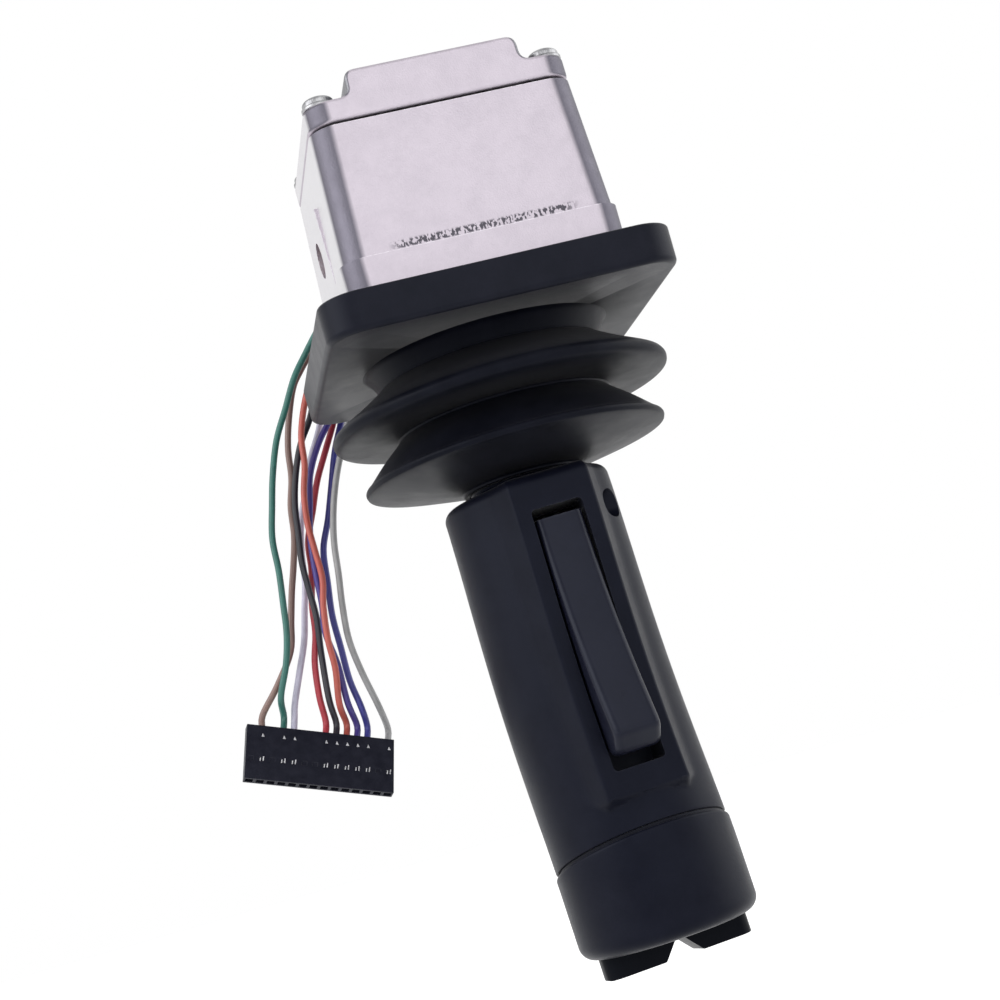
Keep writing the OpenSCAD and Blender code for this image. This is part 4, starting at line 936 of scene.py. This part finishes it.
def makeGrip(spec):
    count = spec["around"]
    tilt = math.tan(math.radians(spec["lean"]))
    edge, endEdge = spec["edge"], spec["endEdge"]
    steps = [("top", edge * (1 - math.cos(math.pi / 2 * k / 8))) for k in range(9)]
    steps += [("side", k / spec["rows"]) for k in range(1, spec["rows"] + 1)]
    steps += [("end", endEdge * (1 - math.sin(math.pi / 2 * k / 3))) for k in range(1, 4)]
    points = []
    for kind, value in steps:
        for i in range(count):
            angle = 2 * math.pi * i / count
            # the leaning joint puts the end of each column at its own level
            last = spec["end"] - tilt * spec["endR"] * math.cos(angle)
            if kind == "top":
                level = spec["top"] + value
                shrink = edge - math.sqrt(max(edge ** 2 - (edge - value) ** 2, 0))
            elif kind == "side":
                level = spec["top"] + edge + (last - endEdge - spec["top"] - edge) * value
                shrink = 0
            else:
                level = last - value
                shrink = endEdge - math.sqrt(max(endEdge ** 2 - (endEdge - value) ** 2, 0))
            r = gripRadius(spec, angle, -level) - shrink
            points.append((r * math.sin(angle), -r * math.cos(angle), -level))
    points += ringAt(spec["joint"], spec["end"], count, tilt)
    points += ringAt(spec["joint"], spec["end"] - spec["jointDeep"], count, tilt)
    points += ringAt(spec["socket"], spec["slotEnd"] + spec["behindSlot"], count)
    points += ringAt(spec["socket"], spec["top"], count)
    grip = ringMesh("gripShell", points, count)
    half, corner = spec["slotHalf"], spec["slotCorner"]
    stepLevel, stepBack = spec["slotStep"]
    high = spec["slotTop"]
    for low, back in ((spec["slotEnd"], stepBack), (stepLevel, spec["slotBack"])):
        outline = filleted([(-half, -low, corner), (half, -low, corner),
                            (half, -high, corner), (-half, -high, corner)], 5)
        combine(grip, prism("slotCut", outline, -spec["outside"], -back, "Y"), "DIFFERENCE")
    y, z, r = spec["hole"]
    ring = [(-y + r * math.cos(2 * math.pi * k / 48), -z + r * math.sin(2 * math.pi * k / 48))
            for k in range(48)]
    combine(grip, prism("holeCut", ring, *spec["holeReach"], "X"), "DIFFERENCE")
    return shadeByAngle(grip, 40)


def intoGrip(obj):
    # the grip bows sideways a little halfway down, and its frame leans and turns
    reach, start, end = gripSpec["bow"]
    for vert in obj.data.vertices:
        share = min(max((-vert.co.z / mm - start) / (end - start), 0.0), 1.0)
        vert.co.x -= reach * mm * math.sin(math.pi * share) ** 1.5
    moveInMm(obj, onGrip)
    return obj


dress(intoGrip(makeGrip(gripSpec)), materials["grip_plastic"], "lever", "grip_plastic", "grip")
triggerSpec = {
    "half": 5.2, "corner": 1.7, "cornerShare": 0.8, "endCorner": 1.6, "rows": 70,
    "front": [(51.9, 20.7), (56, 20.9), (62, 21.4), (68, 22.2), (74, 23.1), (82, 24.6), (90, 26.2),
              (96, 27.5), (98.4, 27.95), (99.4, 28.0), (100.2, 27.5), (102.6, 25.0), (103.4, 24.0),
              (103.7, 23.2)],
    "back": [(51.9, 13.6), (58.0, 16.2), (99.6, 16.6), (103.7, 20.8)],
}


def along(table, level):
    for (z0, y0), (z1, y1) in zip(table, table[1:]):
        if level <= z1:
            return y0 + (y1 - y0) * max(0.0, level - z0) / (z1 - z0)
    return table[-1][1]


def makeTrigger(spec):
    # sections across the trigger, with soft front corners, from its hinge to its free end
    start, end, endCorner = spec["front"][0][0], spec["front"][-1][0], spec["endCorner"]
    levels = {start + (end - start) * k / spec["rows"] for k in range(spec["rows"] + 1)}
    levels |= {z for z, _ in spec["front"]} | {end - endCorner * t for t in (0.05, 0.15, 0.3, 0.5, 0.75)}
    points = []
    for level in sorted(levels):
        front, back = along(spec["front"], level), along(spec["back"], level)
        left = max(endCorner - (end - level), 0)
        half = spec["half"] - endCorner + math.sqrt(max(endCorner ** 2 - left ** 2, 0))
        r = min(spec["corner"], (front - back) * spec["cornerShare"])
        for side in (1, -1):
            for k in range(9):
                a = math.pi / 2 * (k / 8 if side > 0 else 1 - k / 8)
                points.append((side * (half - r + r * math.cos(a)), -(front - r + r * math.sin(a)), -level))
        points += [(-half, -back, -level), (half, -back, -level)]
    rows = len(levels)
    count = len(points) // rows
    faces = [(j * count + i, (j + 1) * count + i,
              (j + 1) * count + (i + 1) % count, j * count + (i + 1) % count)
             for j in range(rows - 1) for i in range(count)]
    faces += [tuple(range(count)), tuple(reversed(range((rows - 1) * count, rows * count)))]
    trigger = faceOutwards(meshPiece("fingerTrigger", [Vector(p) * mm for p in points], faces))
    return shadeByAngle(trigger, 38)


dress(intoGrip(makeTrigger(triggerSpec)), materials["black_moulding"],
      "trigger", "black_moulding", "trigger")

capSpec = {
    "r": 19.9, "start": 123.4, "lean": 12.0, "end": 142.9, "edge": 3.3, "rim": 0.9, "inset": 4,
    "slot": (17.8, 4.5), "slotCorner": 3.6, "deep": 10.0, "outside": 5, "around": 192, "rows": 14,
}


def makeCap(spec):
    r, top, end, edge, rim, count = (spec[k] for k in ("r", "start", "end", "edge", "rim", "around"))
    tilt = math.tan(math.radians(spec["lean"]))
    points = ringAt(pole, top, count, tilt) + ringAt(r - spec["inset"], top, count, tilt)
    for k in range(7):
        a = math.pi / 2 * k / 6
        points += ringAt(r - rim * (1 - math.sin(a)), top + rim * (1 - math.cos(a)), count, tilt)
    for k in range(1, spec["rows"]):
        share = k / spec["rows"]
        points += ringAt(r, top + rim + (end - edge - top - rim) * share, count, tilt * (1 - share))
    for k in range(15):
        a = math.pi / 2 * k / 14
        points += ringAt(r - edge * (1 - math.cos(a)), end - edge * (1 - math.sin(a)), count)
    points += ringAt(r - edge - spec["inset"], end, count) + ringAt(pole, end, count)
    cap = cleaned(ringMesh("gripCap", points, count, closed=False), 1e-5, 0.01)
    u, v = spec["slot"]
    corner = spec["slotCorner"]
    outline = filleted([(-u, -v, corner), (u, -v, corner), (u, v, corner), (-u, v, corner)])
    combine(cap, prism("capSlot", outline, -end - spec["outside"], -end + spec["deep"]), "DIFFERENCE")
    return shadeByAngle(cap, 40)


dress(intoGrip(makeCap(capSpec)), materials["grip_plastic"], "lever", "grip_plastic", "end_cap")

rockerSpec = {
    "half": 4.0, "long": 16.9, "corner": 3.6, "edge": 0.4, "outside": 2, "height": (-150.0, -136.0),
    "side": [(-16.9, -147.7, 0.9), (-4.0, -147.7, 0.9), (-0.3, -143.4, 0.5), (0.8, -143.4, 0.5),
             (4.7, -147.7, 0.6), (16.9, -147.7, 0.9), (16.9, -138.4, 0), (-16.9, -138.4, 0)],
}


def makeRocker(spec):
    reach = spec["half"] + spec["outside"]
    rocker = prism("thumbRocker", filleted(spec["side"], 4), -reach, reach, "Y")
    plan = roundedBox(2 * spec["long"], 2 * spec["half"], spec["corner"], steps=8)
    combine(rocker, prism("rockerPlan", plan, *spec["height"]), "INTERSECT")
    return bevelled(cleaned(rocker, 1e-5, 0.3), spec["edge"], 3, 40)


# the rocker's moulding carries painted shade
dress(intoGrip(makeRocker(rockerSpec)), finish("rockerPlasticPaintedShade", shadedRockerFinish),
      "rocker", "black_moulding", "rocker")
print("grip made")

# the room and its lights
room = {
    "floor": -0.185, "size": 6.0, "white": 0.9, "rough": 0.9, "lift": 0.62, "backdrop": 1.0, "fill": 0.5,
    "lamps": (("keyLeft", (-1.0, -0.35, 0.45), (0, 0, -0.05), 1.0, 9),
              ("sideRight", (1.0, -0.1, 0.25), (0, 0, -0.06), 0.9, 4),
              ("frontFill", (0.15, -1.1, 0.35), (0, 0, -0.05), 0.9, 2.6)),
}


def seenRay(tree):
    # 1 where the camera looks, by itself or by a reflection or through a clear piece
    path = addNode(tree, "ShaderNodeLightPath").outputs
    seen = maths(tree, "MAXIMUM", path["Is Camera Ray"], path["Is Glossy Ray"])
    return maths(tree, "MAXIMUM", seen, path["Is Transmission Ray"])


def makeFloor(spec):
    half = spec["size"]
    floor = meshPiece("floor", [(-half, -half, spec["floor"]), (half, -half, spec["floor"]),
                                (half, half, spec["floor"]), (-half, half, spec["floor"])], [(0, 1, 2, 3)])
    material = bpy.data.materials.new("paleFloor")
    material.use_nodes = True
    tree = material.node_tree
    shader = tree.nodes["Principled BSDF"]
    shader.inputs["Base Color"].default_value = (spec["white"],) * 3 + (1,)
    shader.inputs["Roughness"].default_value = spec["rough"]
    glow = addNode(tree, "ShaderNodeEmission", {
        "Color": (1, 1, 1, 1), "Strength": maths(tree, "MULTIPLY", seenRay(tree), spec["lift"])})
    both = addNode(tree, "ShaderNodeAddShader", {0: shader.outputs[0], 1: glow.outputs[0]})
    tree.links.new(both.outputs[0], tree.nodes["Material Output"].inputs["Surface"])
    floor.data.materials.append(material)


def makeWorld(spec):
    world = bpy.data.worlds.new("studio")
    scene.world = world
    world.use_nodes = True
    tree = world.node_tree
    tree.nodes.clear()
    fill, backdrop = (addNode(tree, "ShaderNodeBackground", {"Color": (1, 1, 1, 1), "Strength": spec[k]})
                      for k in ("fill", "backdrop"))
    mix = addNode(tree, "ShaderNodeMixShader", {0: seenRay(tree), 1: fill.outputs[0], 2: backdrop.outputs[0]})
    out = addNode(tree, "ShaderNodeOutputWorld")
    tree.links.new(mix.outputs[0], out.inputs["Surface"])


def softBox(name, place, target, size, power):
    data = bpy.data.lights.new(name, "AREA")
    data.shape, data.size, data.energy = "SQUARE", size, power
    lamp = link(bpy.data.objects.new(name, data))
    lamp.location = place
    lamp.rotation_euler = (Vector(target) - Vector(place)).to_track_quat("-Z", "Y").to_euler()


makeFloor(room)
makeWorld(room)
for lamp in room["lamps"]:
    softBox(*lamp)
print("room made")
